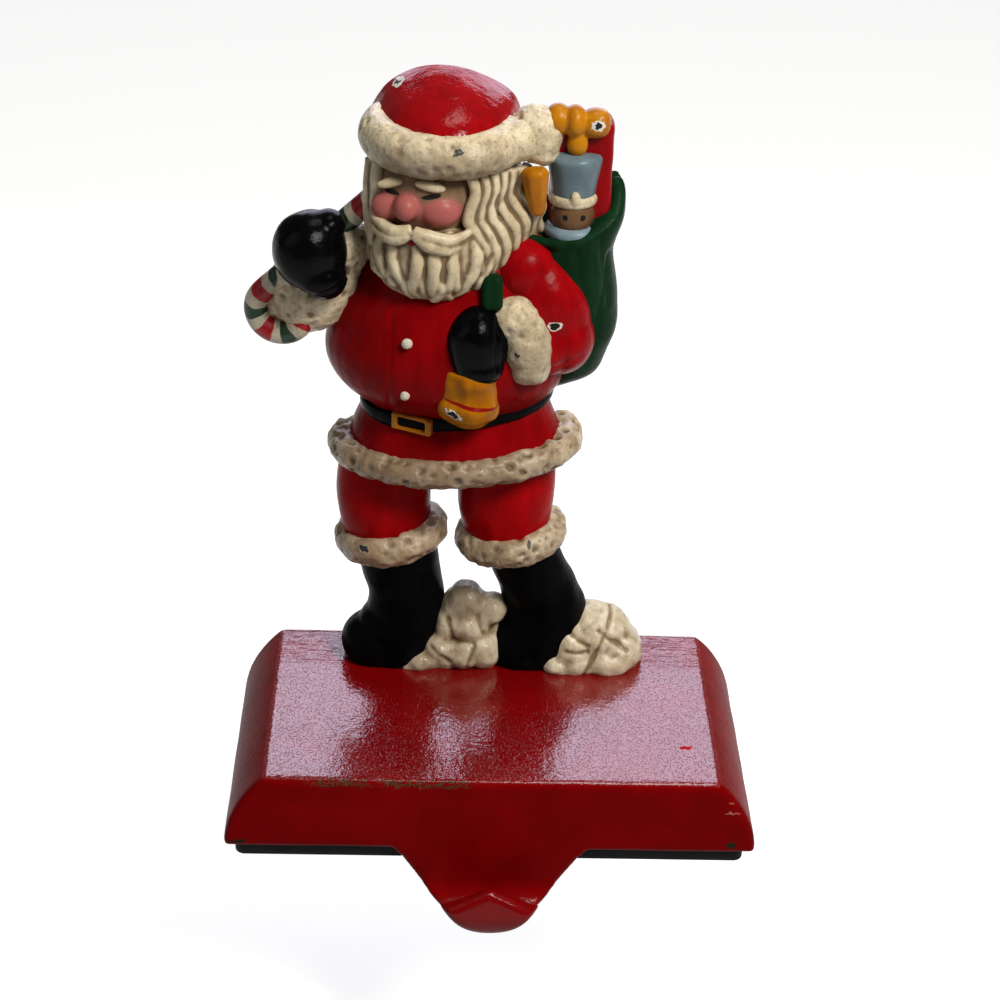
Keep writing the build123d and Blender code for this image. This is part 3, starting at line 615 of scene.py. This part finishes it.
# hair and beard in carved locks
locks = {"mass": [(-10.2, 6, 93.5, 13.4, 8.8), (-10, 6, 98, 15.0, 9.9), (-10.6, 6, 104, 15.6, 10.2),
                  (-11.4, 6, 110, 15.0, 10.1), (-11.8, 6, 116, 14.0, 9.9), (-12, 6, 121, 13, 9.5)],
         "beard": [(-13.7, 11.6, 89.6, 7.0, 6.8), (-13.6, 11.6, 91.6, 10.2, 9.5),
                   (-13.3, 11.5, 96, 12.2, 11.0), (-13.0, 11.4, 101, 12.3, 10.9),
                   (-12.8, 11.2, 104.5, 11.4, 10.2)],
         "fill": [(1.4, 7.8, 102.4, 5.4, 4.8, 8.4), (-1.8, 11.0, 97.8, 4.4, 4.2, 4.4)],
         "beardMiddle": (-13.3, 11.5, 98.0), "beardReach": (12.3, 10.8, 11.2),
         "fallTaper": [(0, 0.6), (0.3, 1.0), (0.55, 1.05), (0.8, 0.9), (1, 0.4)],
         "falls": [{"count": 15, "top": 104.2, "foot": 90.6, "thick": 1.25},
                   {"count": 11, "top": 96.0, "foot": 90.0, "thick": 1.15}],
         "sides": {"wave": 0.95,
                   "taper": [(0, 1.1), (0.15, 1.15), (0.3, 1.2), (0.45, 1.25), (0.6, 1.35), (0.75, 1.4),
                             (0.88, 1.3), (1, 0.7)],
                   "from": ((-6.9, 17.8, 115.0), (3.4, 9.8, 114.6)),
                   "ends": [(-4.2, 17.2, 95.8), (-2.0, 16.0, 94.0), (0.4, 14.2, 94.2), (2.5, 12.2, 95.6),
                            (4.4, 10.4, 97.0), (6.2, 8.8, 98.4), (7.6, 7.4, 99.8)]},
         "temple": [[(-25.6, 12.0, 116, 1.3), (-25.8, 13.2, 110, 1.5), (-25.6, 14.6, 104.5, 1.5),
                     (-25.0, 16.0, 100, 1.1)],
                    [(-24.4, 13.6, 116, 1.2), (-24.6, 15.0, 111, 1.3), (-24.6, 16.0, 107, 1.2)]],
         "moustache": [[(-17.8, 21.6, 105.5, 1.0), (-20.8, 21.2, 105.0, 1.3), (-23.6, 18.8, 105.7, 1.1),
                        (-25.4, 16.6, 106.6, 0.6)],
                       [(-17.9, 21.8, 104.8, 1.0), (-20.8, 21.2, 103.6, 1.5), (-23.8, 18.8, 104.0, 1.2),
                        (-25.6, 16.6, 105.2, 0.5)],
                       [(-17.4, 22.0, 105.5, 1.0), (-14.2, 22.4, 104.4, 1.4), (-10.4, 21.6, 103.5, 1.2),
                        (-6.8, 19.6, 104.6, 0.6)],
                       [(-17.3, 22.1, 104.8, 1.0), (-14.2, 22.5, 102.9, 1.6), (-10.6, 21.6, 101.9, 1.4),
                        (-7.4, 19.4, 102.9, 0.5)]],
         "brows": [(-21.9, 18.4, 113.5, 2.6, 1.1, 1.0, -10), (-14.4, 19.9, 113.6, 3.0, 1.1, 1.0, 10)]}


def onBeard(angle, z):
    x, depth, middle = locks["beardMiddle"]
    wide, deep, tall = locks["beardReach"]
    share = (1 - min(0.9, ((z - middle) / tall) ** 2)) ** 0.5
    return x + wide * share * sin(angle), depth + deep * share * cos(angle), z


def beardLocks():
    # sines of a lock's number stand in for chance, so that no two are alike
    rods = []
    for row, fall in enumerate(locks["falls"]):
        for i in range(fall["count"]):
            a = radians(-88 + 176 * (i + 0.5 + 0.22 * sin(4.1 * i + row)) / fall["count"])
            bend = radians(6) * sin(2.7 * i + 1.3 * row)
            foot = fall["foot"] + 4.6 * abs(sin(a)) ** 2.4 + 0.5 * sin(3.7 * i)
            drop = foot - fall["top"] - 0.8 * sin(1.9 * i)
            thick = fall["thick"] * (1 + 0.18 * sin(3.9 * i + row))
            rod = []
            for t, share in locks["fallTaper"]:
                along = a * (1 - 0.1 * t) + bend * sin(4.2 * t)
                rod.append((*onBeard(along, foot - drop * (1 - t)), thick * share))
            rods.append(strand(rod))
    return rods


def sideLocks():
    # wavy locks that fan out from under the brim, the last one to the tip over the shoulder
    sides = locks["sides"]
    first, last = (Vector(p) for p in sides["from"])
    rods = []
    for i, end in enumerate(sides["ends"]):
        root = first.lerp(last, i / (len(sides["ends"]) - 1))
        rod = []
        for t, thick in sides["taper"]:
            x, depth, z = root.lerp(Vector(end), t)
            swell = (0.22 * i - 1.0) * sin(pi * t) * (1 - t)
            wave = sides["wave"] * sin(10.5 * t + 0.4 * i)
            rod.append((x + swell + wave, depth + 1.2 * sin(pi * t), z, thick))
        rods.append(strand(rod))
    return rods


wool = [loft(locks["mass"]), loft(locks["beard"])]
wool += [strand(rod) for rod in locks["temple"] + locks["moustache"]] + beardLocks() + sideLocks()
wool += [ball(*form) for form in locks["brows"] + locks["fill"]]
hair = fused(wool, voxel=0.27, soften=2)
lumpy(hair, size=2.2, depth=0.16, seed=9)
hairPaint = {**fur, "wash": (0.14, 0.085, 0.036), "washRange": (-0.09, 0.09), "washShare": 0.95,
             "stain": 0.4, "speck": 0.2, "skin": 0.25}
finished("hairAndBeard", hair, enamel("hairCream", hairPaint), back=0.33, wash=22)
print("hair carved")

# face, calm and plain
face = {"forms": [(-14.7, 10.3, 109.4, 10.9, 10.2, 11.0), (-18.9, 19.6, 109.2, 2.5, 2.9, 2.6),
                  (-22.2, 17.0, 108.4, 3.5, 2.7, 3.1), (-12.6, 18.9, 108.2, 3.9, 2.6, 3.1)],
        "mouth": (-17.6, 20.9, 103.2, 1.5, 1.3, 1.2), "skin": (0.235, 0.145, 0.085),
        "pink": (0.38, 0.105, 0.092), "eye": (0.012, 0.008, 0.007)}
facePaint = {"tone": face["skin"], "shade": (0.18, 0.105, 0.058), "rough": 0.34,
             "wash": (0.075, 0.038, 0.018), "washRange": (0.01, 0.14), "washShare": 0.75, "skin": 0.12,
             "spots": [markAt(-18.9, 20.0, 109.2, (3.1, 3.4, 3.1), face["pink"], soft=0.25),
                       markAt(-22.4, 17.4, 108.4, (3.7, 3.6, 3.1), face["pink"], soft=0.2),
                       markAt(-12.4, 19.2, 108.2, (4.2, 3.6, 3.1), face["pink"], soft=0.2),
                       markAt(-21.8, 18.2, 111.7, (1.7, 2.5, 0.5), face["eye"], turn=(0, radians(8), 0)),
                       markAt(-14.2, 19.9, 111.6, (1.9, 2.5, 0.5), face["eye"], turn=(0, radians(-8), 0))]}
finished("face", fused([ball(*form) for form in face["forms"]], voxel=0.3, soften=4),
         enamel("faceSkin", facePaint), back=0.36)
finished("mouth", fused([ball(*face["mouth"])], voxel=0.2, soften=2), enamel("mouthRed", red), back=0.39)
print("face set")

# mittens
mittens = {"raised": [(-37.3, 14.4, 97.8, 7.3, 7.3, 7.9, 0), (-35.2, 16.4, 93.6, 5.4, 5.4, 4.6, 30),
                      (-33.4, 14.0, 103.2, 3.2, 3.8, 2.6, 20)],
           "lowered": [(-5.0, 20.6, 81.8, 6.2, 6.2, 7.7, 0), (-4.6, 21.6, 77.6, 5.2, 5.2, 3.8, 0),
                       (-0.4, 19.6, 82.0, 2.4, 4.0, 5.4, 0)],
           "folds": {"raised": [(-43.5, 92.4, -38.0, 90.6), (-38.0, 90.6, -30.0, 93.6)],
                     "lowered": [(-1.2, 87, -0.9, 78)]}}
mittenPaint = enamel("mittenBlack", black)
for side in ("raised", "lowered"):
    hand = fused([ball(*form) for form in mittens[side]], voxel=0.38, soften=6)
    grooved(hand, mittens["folds"][side], width=0.8, depth=0.4)
    lumpy(hand, size=3.5, depth=0.2, seed=11)
    finished("mitten." + side, hand, mittenPaint, back=0.42)

# candy cane
cane = {"crook": (-43.6, 9.5, 83.3), "bend": 4.8, "radius": 2.35, "shank": (31, 24, 17, 10, 5), "steps": 6,
        "sides": 20, "slope": 43.0, "turn": 222.0, "bends": 8, "rise": 0.45, "tip": 0.7, "pitch": 8.83,
        "band": 2.9, "start": 1.83, "soft": 0.3, "lean": 300.0, "grain": 500.0, "wobble": 0.9,
        "white": (0.55, 0.48, 0.36), "red": (0.33, 0.004, 0.007), "green": (0.006, 0.032, 0.012)}


def caneRod():
    cx, cd, cz = cane["crook"]
    a = radians(cane["slope"])
    line = [(cx - cane["bend"] * sin(a) + s * cos(a), cd, cz + cane["bend"] * cos(a) + s * sin(a),
             cane["radius"])
            for s in cane["shank"]]
    for i in range(cane["bends"] + 1):
        b = pi / 2 + a + radians(cane["turn"]) * i / cane["bends"]
        tip = cane["tip"] if i == cane["bends"] else 1
        line.append((cx + cane["bend"] * cos(b), cd + cane["rise"] * max(0, i - 2),
                     cz + cane["bend"] * sin(b), cane["radius"] * tip))
    rod = strand(line, cane["steps"], cane["sides"])
    middles = [Vector((x, -d, z)) for x, d, z, _ in through(line, cane["steps"])]
    run = [0.0]
    for p, q in zip(middles, middles[1:]):
        run.append(run[-1] + (q - p).length)
    layer = rod.verts.layers.float.new("along")
    for i, v in enumerate(rod.verts):
        v[layer] = run[i // cane["sides"]]
    return rod


def canePaint():
    material = enamel("caneStripes", {**fur, "tone": cane["white"], "shade": cane["white"], "rough": 0.3})
    tree = material.node_tree
    shader = tree.nodes["Principled BSDF"]
    along = wire(tree, "ShaderNodeAttribute", attribute_name="along").outputs["Fac"]
    coords = wire(tree, "ShaderNodeTexCoord").outputs["Object"]
    front = wire(tree, "ShaderNodeSeparateXYZ", {0: coords}).outputs[1]
    wobble = swing(tree, grain(tree, coords, cane["grain"]), cane["wobble"])
    along = plus(tree, plus(tree, along, wobble), times(tree, front, cane["lean"]))
    half, soft = cane["pitch"] / 2, cane["soft"]
    phase = maths(tree, "MODULO", plus(tree, along, cane["start"] + 50 * cane["pitch"]), cane["pitch"])
    stripes = [(0.0, cane["band"]), (half, half + cane["band"])]
    isRed, isGreen = (times(tree, ramp(tree, phase, low, low + soft), ramp(tree, phase, high, high - soft))
                      for low, high in stripes)
    ground = shader.inputs["Base Color"].links[0].from_socket
    colour = mixed(tree, isGreen, mixed(tree, isRed, ground, cane["red"]), cane["green"])
    tree.links.new(colour, shader.inputs["Base Color"])
    return material


finished("candyCane", caneRod(), canePaint(), back=None)

# bell in the lowered mitten, strap, belt, buckle and buttons
bell = {"place": (-6.1, 20.8, 70.0),
        "profile": [(1.6, -5.4), (4.0, -4.8), (5.6, -3.2), (6.1, -1.4), (6.2, -0.2), (5.8, 0.5), (5.6, 1.4),
                    (5.7, 3.0), (5.7, 5.0), (5.2, 7.0)],
        "paint": {**gold, "tone": (0.43, 0.155, 0.003), "shade": (0.31, 0.095, 0.002), "gloss": 0.06,
                  "spots": [markAt(-5.4, 25.0, 70.5, (6.4, 7, 0.36), (0.22, 0.004, 0.003),
                                   turn=(0, radians(9), 0), soft=0.3)],
                  "chips": [chipAt(-9.2, 26.0, 68.8, (1.25, 2.0, 0.6), 1.4, turn=(0, radians(20), 0))]}}
ringer = fused([lathe(*bell["place"], bell["profile"])], voxel=0.3)
lumpy(ringer, size=3.4, depth=0.7, seed=12)
finished("bell", ringer, enamel("bellGold", bell["paint"]), back=0.45)

trims = {"strap": {"form": slab(-2.3, 18.4, 91.6, 4.2, 5.0, 7.0, 1.2, lean=-3, pitch=-16), "voxel": 0.3,
                   "paint": enamel("strapGreen", green)},
         "belt": {"form": roll(-8.5, 5, 63.4, 19.2, 14.1, 0.7, 1.95, -6), "voxel": 0.36,
                  "paint": enamel("beltBlack", {**black, "gloss": 0.02})}}
for name, trim in trims.items():
    band = fused([trim["form"]], voxel=trim["voxel"])
    lumpy(band, size=5.0, depth=0.2, seed=13)
    finished(name, band, trim["paint"], back=0.48)

buckle = {"x": -17.3, "depth": 17.9, "z": 62.5, "turn": -24, "lean": 1, "wide": 8.6, "tall": 3.6, "bar": 1.3,
          "rail": 0.75, "thick": 1.8}


def buckleFrame():
    wide, tall, bar, rail = (buckle[key] for key in ("wide", "tall", "bar", "rail"))
    spin = Matrix.Rotation(radians(buckle["turn"]), 4, "Z")
    lean = Matrix.Rotation(radians(buckle["lean"]), 4, "Y")
    place = Matrix.Translation((buckle["x"], -buckle["depth"], buckle["z"])) @ spin @ lean
    bars = []
    for dx, dz, sx, sz in ((0, 1, wide, rail), (0, -1, wide, rail), (1, 0, bar, tall), (-1, 0, bar, tall)):
        form = slab(dx * (wide - bar) / 2, 0, dz * (tall - rail) / 2, sx, buckle["thick"], sz, 0.4)
        bmesh.ops.transform(form, matrix=place, verts=form.verts)
        bars.append(form)
    return bars


finished("buckle", fused(buckleFrame(), voxel=0.22, soften=2), enamel("buckleGold", gold), back=None)
buttons = {"upper": (-18.4, 22.4, 82.2, 1.12, 0.8, 1.12), "lower": (-18.7, 22.5, 71.0, 0.98, 0.8, 0.98)}
buttonPaint = enamel("buttonWhite", {**fur, "tone": (0.66, 0.60, 0.50), "shade": (0.58, 0.52, 0.42)})
for name, form in buttons.items():
    finished("button." + name, fused([ball(*form)], voxel=0.16, soften=2), buttonPaint, back=None)
print("belt and bell on")

# sack and toys
sack = {"sections": [(9.0, 4.6, 65.6, 4.0, 3.6), (10.2, 4.6, 69.5, 9.2, 7.6), (11.2, 4.6, 78, 11.6, 9.8),
                     (11.8, 4.6, 88, 10.8, 9.4), (12.3, 4.6, 96.5, 9.7, 9.0), (13.2, 4.6, 104, 10.3, 9.2),
                     (13.4, 4.6, 112, 9.4, 8.4)],
        "lip": [(3.6, 10.4, 99.8, 1.1), (8.6, 12.2, 99.2, 1.1), (13.4, 12.6, 99.4, 1.2),
                (17.8, 11.0, 101.0, 1.3), (21.2, 7.6, 104.2, 1.5), (21.9, 4.6, 107.2, 1.6),
                (21.2, 2.6, 108.8, 1.4)],
        "folds": [(14, 98, 16.5, 84), (18.5, 100, 20.5, 86), (20.6, 96, 16.8, 74)],
        "mouth": ((13.4, -13.0, 99.0), (-0.30, -0.50, 0.81))}
cloth = loft(sack["sections"])
sliced(cloth, *sack["mouth"])
bag = fused([cloth, strand(sack["lip"])], voxel=0.42, soften=5)
grooved(bag, sack["folds"], width=1.8, depth=0.45)
lumpy(bag, size=7.0, depth=0.5, seed=14)
finished("sack", bag, enamel("sackGreen", green), back=0.51)

parcel = {"place": (14.4, 4.5, 111.2), "size": (11.8, 9.0, 22.0)}
present = fused([slab(*parcel["place"], *parcel["size"], 1.2)], voxel=0.4)
lumpy(present, size=5.0, depth=0.3, seed=15)
finished("parcel", present, enamel("parcelRed", red), back=0.54)

goldToys = {"train": [(9.4, 8.4, 123.0, 2.7, 3.2, 3.2), (12.6, 9.0, 123.0, 2.2, 3.4, 3.2),
                      (13.2, 9.4, 118.6, 2.1, 2.0, 2.6)],
            "cart": (16.6, 8.6, 122.6, 5.6, 5.6, 5.6), "hornPlace": (6.4, 13.0, 102.9),
            "horn": [(1.2, 2.6), (1.6, 3.4), (2.0, 5.6), (2.6, 9.0), (2.9, 11.2), (2.2, 12.0)]}
goldPaint = enamel("toyGold", {**gold, "chips": [chipAt(16.9, 11.3, 123.0, (0.7, 2.0, 0.75), 1.6)]})
train = [ball(*form) for form in goldToys["train"]] + [slab(*goldToys["cart"], 2.3)]
finished("goldToy", fused(train, voxel=0.32, soften=4), goldPaint, back=0.57)
trumpet = lathe(*goldToys["hornPlace"], goldToys["horn"], lean=-6, squash=0.8, sides=7)
finished("horn", fused([trumpet], voxel=0.3), goldPaint, back=None)

soldier = {"place": (13.0, 7.8, 0.0),
           "collar": [(3.0, 97.2), (4.4, 98.6), (5.4, 100.2), (5.4, 101.2), (4.6, 102.0), (3.2, 102.4)],
           "face": (13.0, 8.3, 104.1, 4.3, 4.4, 4.3), "nose": (13.1, 12.0, 103.6, 0.8, 0.7, 0.7),
           "band": [(4.3, 106.2), (4.75, 106.7), (4.75, 107.9), (4.3, 108.5)],
           "badge": (13.2, 12.3, 108.6, 1.0, 0.8, 1.6),
           "shako": [(4.2, 107.4), (4.3, 108.6), (4.7, 111.4), (5.3, 114.6), (5.4, 115.6), (4.9, 116.4),
                     (3.2, 116.7)],
           "eye": (0.006, 0.005, 0.005)}
collarBlue = {**gold, "tone": (0.20, 0.27, 0.31), "shade": (0.15, 0.21, 0.25), "wash": (0.05, 0.055, 0.05)}
soldierSkin = {"tone": (0.155, 0.078, 0.036), "shade": (0.115, 0.055, 0.024), "rough": 0.32,
               "wash": (0.05, 0.02, 0.01),
               "spots": [markAt(x, 11.9, 104.6, (0.55, 1.5, 0.6), soldier["eye"]) for x in (11.4, 14.8)]}
shakoBlue = {**gold, "tone": (0.145, 0.205, 0.235), "shade": (0.105, 0.15, 0.175),
             "wash": (0.035, 0.042, 0.042)}
collar = fused([lathe(*soldier["place"], soldier["collar"])], voxel=0.3)
finished("soldierCollar", collar, enamel("soldierBlue", collarBlue), back=0.6)
visage = fused([ball(*soldier["face"]), ball(*soldier["nose"])], voxel=0.26)
finished("soldierFace", visage, enamel("soldierSkin", soldierSkin), back=None)
band = fused([lathe(*soldier["place"], soldier["band"]), ball(*soldier["badge"])], voxel=0.26)
finished("shakoBand", band, enamel("shakoCream", fur), back=None)
shako = fused([lathe(*soldier["place"], soldier["shako"])], voxel=0.32)
finished("shako", shako, enamel("shakoBlue", shakoBlue), back=None)
print("toys packed")

# boots and snow, cut flat just above the base
footCut = (0, 0, 0.05), (0, 0, -1)
boots = {"left": {"back": 0.63,
                  "shaft": [(-20.0, 5.5, 0.0, 7.6, 7.6), (-19.6, 5.5, 4, 8.4, 8.3),
                            (-18.8, 5.5, 10, 8.3, 7.9), (-18.4, 5.5, 15, 8.0, 7.6),
                            (-19.8, 5.5, 23, 8.3, 7.8), (-21.3, 5.5, 30, 8.6, 8.2)],
                  "toe": [(-25.0, 6.4, 3.6, 7.2, 7.4, 6.4, 0), (-22.6, 6.4, 8.0, 6.4, 6.6, 5.6, -25)]},
         "right": {"back": 0.66,
                   "shaft": [(9.4, 5.5, 0.0, 9.6, 7.6), (10.2, 5.5, 4, 9.9, 8.3), (11.2, 5.5, 10, 9.3, 7.9),
                             (10.9, 5.5, 15, 8.8, 7.6), (7.6, 5.5, 23, 8.2, 7.8), (3.8, 5.5, 30, 8.5, 8.2)],
                   "toe": [(6.2, 7.0, 3.0, 6.8, 7.0, 5.4, 0)]}}
bootPaint = enamel("bootBlack", {**black, "rough": 0.34, "skin": 0.25, "gloss": 0.02})
for side, boot in boots.items():
    shape = fused([loft(boot["shaft"])] + [ball(*toe) for toe in boot["toe"]], voxel=0.42, soften=5)
    lumpy(shape, size=5.0, depth=0.4, seed=16)
    sliced(shape, *footCut)
    finished("boot." + side, shape, bootPaint, back=boot["back"])

snow = {"middle": {"back": 0.69,
                   "lumps": [(-5.4, 6.8, 14.2, 4.4, 4.8, 4.0), (-0.2, 7.2, 12.4, 3.6, 4.2, 3.6),
                             (-4.8, 8.4, 9.8, 4.8, 4.6, 4.2), (-9.0, 7.4, 8.6, 3.6, 4.6, 4.2),
                             (-10.6, 8.8, 4.2, 4.2, 4.8, 3.6), (-1.6, 9.2, 3.4, 3.8, 4.8, 4.4),
                             (-5.8, 9.8, 2.8, 4.0, 4.6, 3.6), (-14.6, 9.4, 1.4, 4.2, 5.2, 2.6),
                             (-17.4, 9.2, 0.5, 3.4, 4.6, 1.8), (-5.4, 5.2, 6.4, 7.6, 5.8, 8.6),
                             (-9.8, 9.2, 1.6, 4.0, 4.2, 2.8), (-8.0, 6.6, 12.0, 3.0, 4.4, 3.8)],
                   "creases": [(-9.4, 11.6, -8.0, 6.8), (-3.6, 6.2, -5.2, 1.0), (-12.8, 5.4, -9.0, 2.4),
                               (-3.0, 12.6, -1.6, 8.6)]},
        "bank": {"back": 0.72,
                 "lumps": [(22.6, 6.2, 5.2, 8.2, 7.2, 8.2), (26.6, 6.6, 2.6, 6.2, 7.2, 6.4),
                           (17.4, 7.4, 4.6, 5.4, 7.0, 6.4), (14.4, 9.4, 1.2, 4.0, 5.6, 3.0),
                           (19.0, 9.4, 1.8, 5.4, 5.6, 3.8), (25.0, 9.0, 1.8, 6.4, 6.0, 4.4)],
                 "creases": [(26.2, 13.9, 20.0, 0.0), (22.8, 10.0, 29.2, 5.4), (17.0, 9.2, 20.8, 6.6),
                             (16.0, 5.6, 20.8, 5.4)]}}
snowPaint = {**fur, "tone": (0.70, 0.61, 0.45), "shade": (0.58, 0.485, 0.33), "wash": (0.17, 0.105, 0.040),
             "washRange": (-0.05, 0.08), "washCloud": 0.14, "rough": 0.16, "stain": 0.3, "speck": 0.15,
             # two soft darker ovals on the middle heap: painted shade with some stain on its top between the
             # boots, and darker towards its lower left
             "spots": [markAt(-5.5, 9, 16, (8, 9, 5), (0.13, 0.092, 0.055), soft=0.8, share=0.62),
                       markAt(-12, 13, 2, (11, 8, 5), (0.15, 0.082, 0.042), soft=0.8, share=0.5)]}
snowWhite = enamel("snowWhite", snowPaint)
for name, drift in snow.items():
    heap = fused([ball(*lump) for lump in drift["lumps"]], voxel=0.4, soften=12)
    lumpy(heap, size=5.0, depth=0.6, seed=18)
    lumpy(heap, size=2.2, depth=0.3, seed=17)
    grooved(heap, drift["creases"], width=1.0, depth=0.6)
    smoothOver(heap, 1)
    sliced(heap, *footCut)
    finished("snow." + name, heap, snowWhite, back=drift["back"])
print("boots in the snow")

# seat pad and screws
pad = {"round": 0.35,
       "paint": {"tone": (0.009, 0.009, 0.0095), "shade": (0.005, 0.005, 0.005), "rough": 0.75, "skin": 0.4,
                 "skinScale": 2600.0, "gloss": 0.15}}
sheet = packed("seat_pad")
bmesh.ops.dissolve_limit(sheet, angle_limit=radians(2), verts=sheet.verts, edges=sheet.edges)
rims = [e for e in sheet.edges if e.calc_face_angle(0) > radians(60)]
bmesh.ops.bevel(sheet, geom=rims, offset=pad["round"], segments=3, profile=0.5, affect="EDGES", material=-1)
finished("seatPad", sheet, enamel("padRubber", pad["paint"]), back=None, place=millimetres, node="seat_pad",
         crease=40)

steel = enamel("screwSteel",
               {"tone": (0.50, 0.50, 0.51), "shade": (0.38, 0.38, 0.39), "rough": 0.38, "skin": 0.08,
                "skinWay": (1, 6, 1), "gloss": 0.5})
steel.node_tree.nodes["Principled BSDF"].inputs["Metallic"].default_value = 1.0
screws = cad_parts["figure_screws"]
screws.data.materials.clear()
screws.data.materials.append(steel)
print("pad and screws done")

# floor, light and camera
stage = {"floorZ": -0.06, "floorHalf": 3.0, "floorRough": 0.9, "aim": (0, 0, 0.06),
         "floor": (0.44, 0.44, 0.436), "glow": 0.79, "ambient": 0.115}
lamps = {"behind": {"place": (0.01, 0.30, 0.228), "size": (0.30, 0.17), "power": 0.58,
                    "tint": (0.78, 0.79, 1.0)},
         "right": {"place": (0.33, -0.36, 0.64), "size": (0.22, 0.22), "power": 6.0,
                   "tint": (1.0, 0.97, 0.92)},
         "above": {"place": (0.115, 0.15, 0.736), "size": (0.24, 0.30), "power": 1.0,
                   "tint": (1.0, 0.97, 0.95)},
         "left": {"place": (-0.50, -0.20, 0.36), "size": (0.30, 0.40), "power": 0.3,
                  "tint": (1.0, 1.0, 1.0)}}
photo = {"place": (-0.011858, -0.377602, 0.289806), "turn": (59.785, -1.738, -0.850), "lens": 79.2,
         "sensor": 36, "near": 0.01}

bm = bmesh.new()
bmesh.ops.create_grid(bm, x_segments=1, y_segments=1, size=stage["floorHalf"])
bmesh.ops.translate(bm, vec=(0, 0, stage["floorZ"]), verts=bm.verts)
floorMesh = bpy.data.meshes.new("floor")
bm.to_mesh(floorMesh)
bm.free()
floor = placed("floor", floorMesh)
pale = bpy.data.materials.new("paleFloor")
pale.use_nodes = True
tree = pale.node_tree
rays = wire(tree, "ShaderNodeLightPath").outputs
seen = plus(tree, plus(tree, rays["Is Camera Ray"], rays["Is Glossy Ray"]), rays["Is Transmission Ray"])
seen = maths(tree, "MINIMUM", seen, 1.0)
feed(tree, tree.nodes["Principled BSDF"],
     {"Base Color": (*stage["floor"], 1), "Roughness": stage["floorRough"], "Emission Color": (1, 1, 1, 1),
      "Emission Strength": times(tree, seen, stage["glow"])})
floorMesh.materials.append(pale)

world = bpy.data.worlds.new("studio")
scene.world = world
world.use_nodes = True
sky = world.node_tree
feed(sky, sky.nodes["Background"], {"Color": (1, 1, 1, 1), "Strength": stage["ambient"]})

for name, lamp in lamps.items():
    light = bpy.data.lights.new("lamp." + name, "AREA")
    light.shape = "RECTANGLE"
    light.size, light.size_y = lamp["size"]
    light.energy = lamp["power"]
    light.color = lamp["tint"]
    shade = placed("lamp." + name, light)
    shade.location = lamp["place"]
    shade.visible_camera = False
    shade.rotation_euler = (Vector(stage["aim"]) - shade.location).to_track_quat("-Z", "Y").to_euler()

lens = bpy.data.cameras.new("photoCamera")
lens.lens = photo["lens"]
lens.sensor_width = photo["sensor"]
lens.clip_start = photo["near"]
camera = placed("photoCamera", lens)
camera.location = photo["place"]
camera.rotation_euler = [radians(a) for a in photo["turn"]]
scene.camera = camera
scene.view_settings.view_transform = "Standard"
print("stage lit")
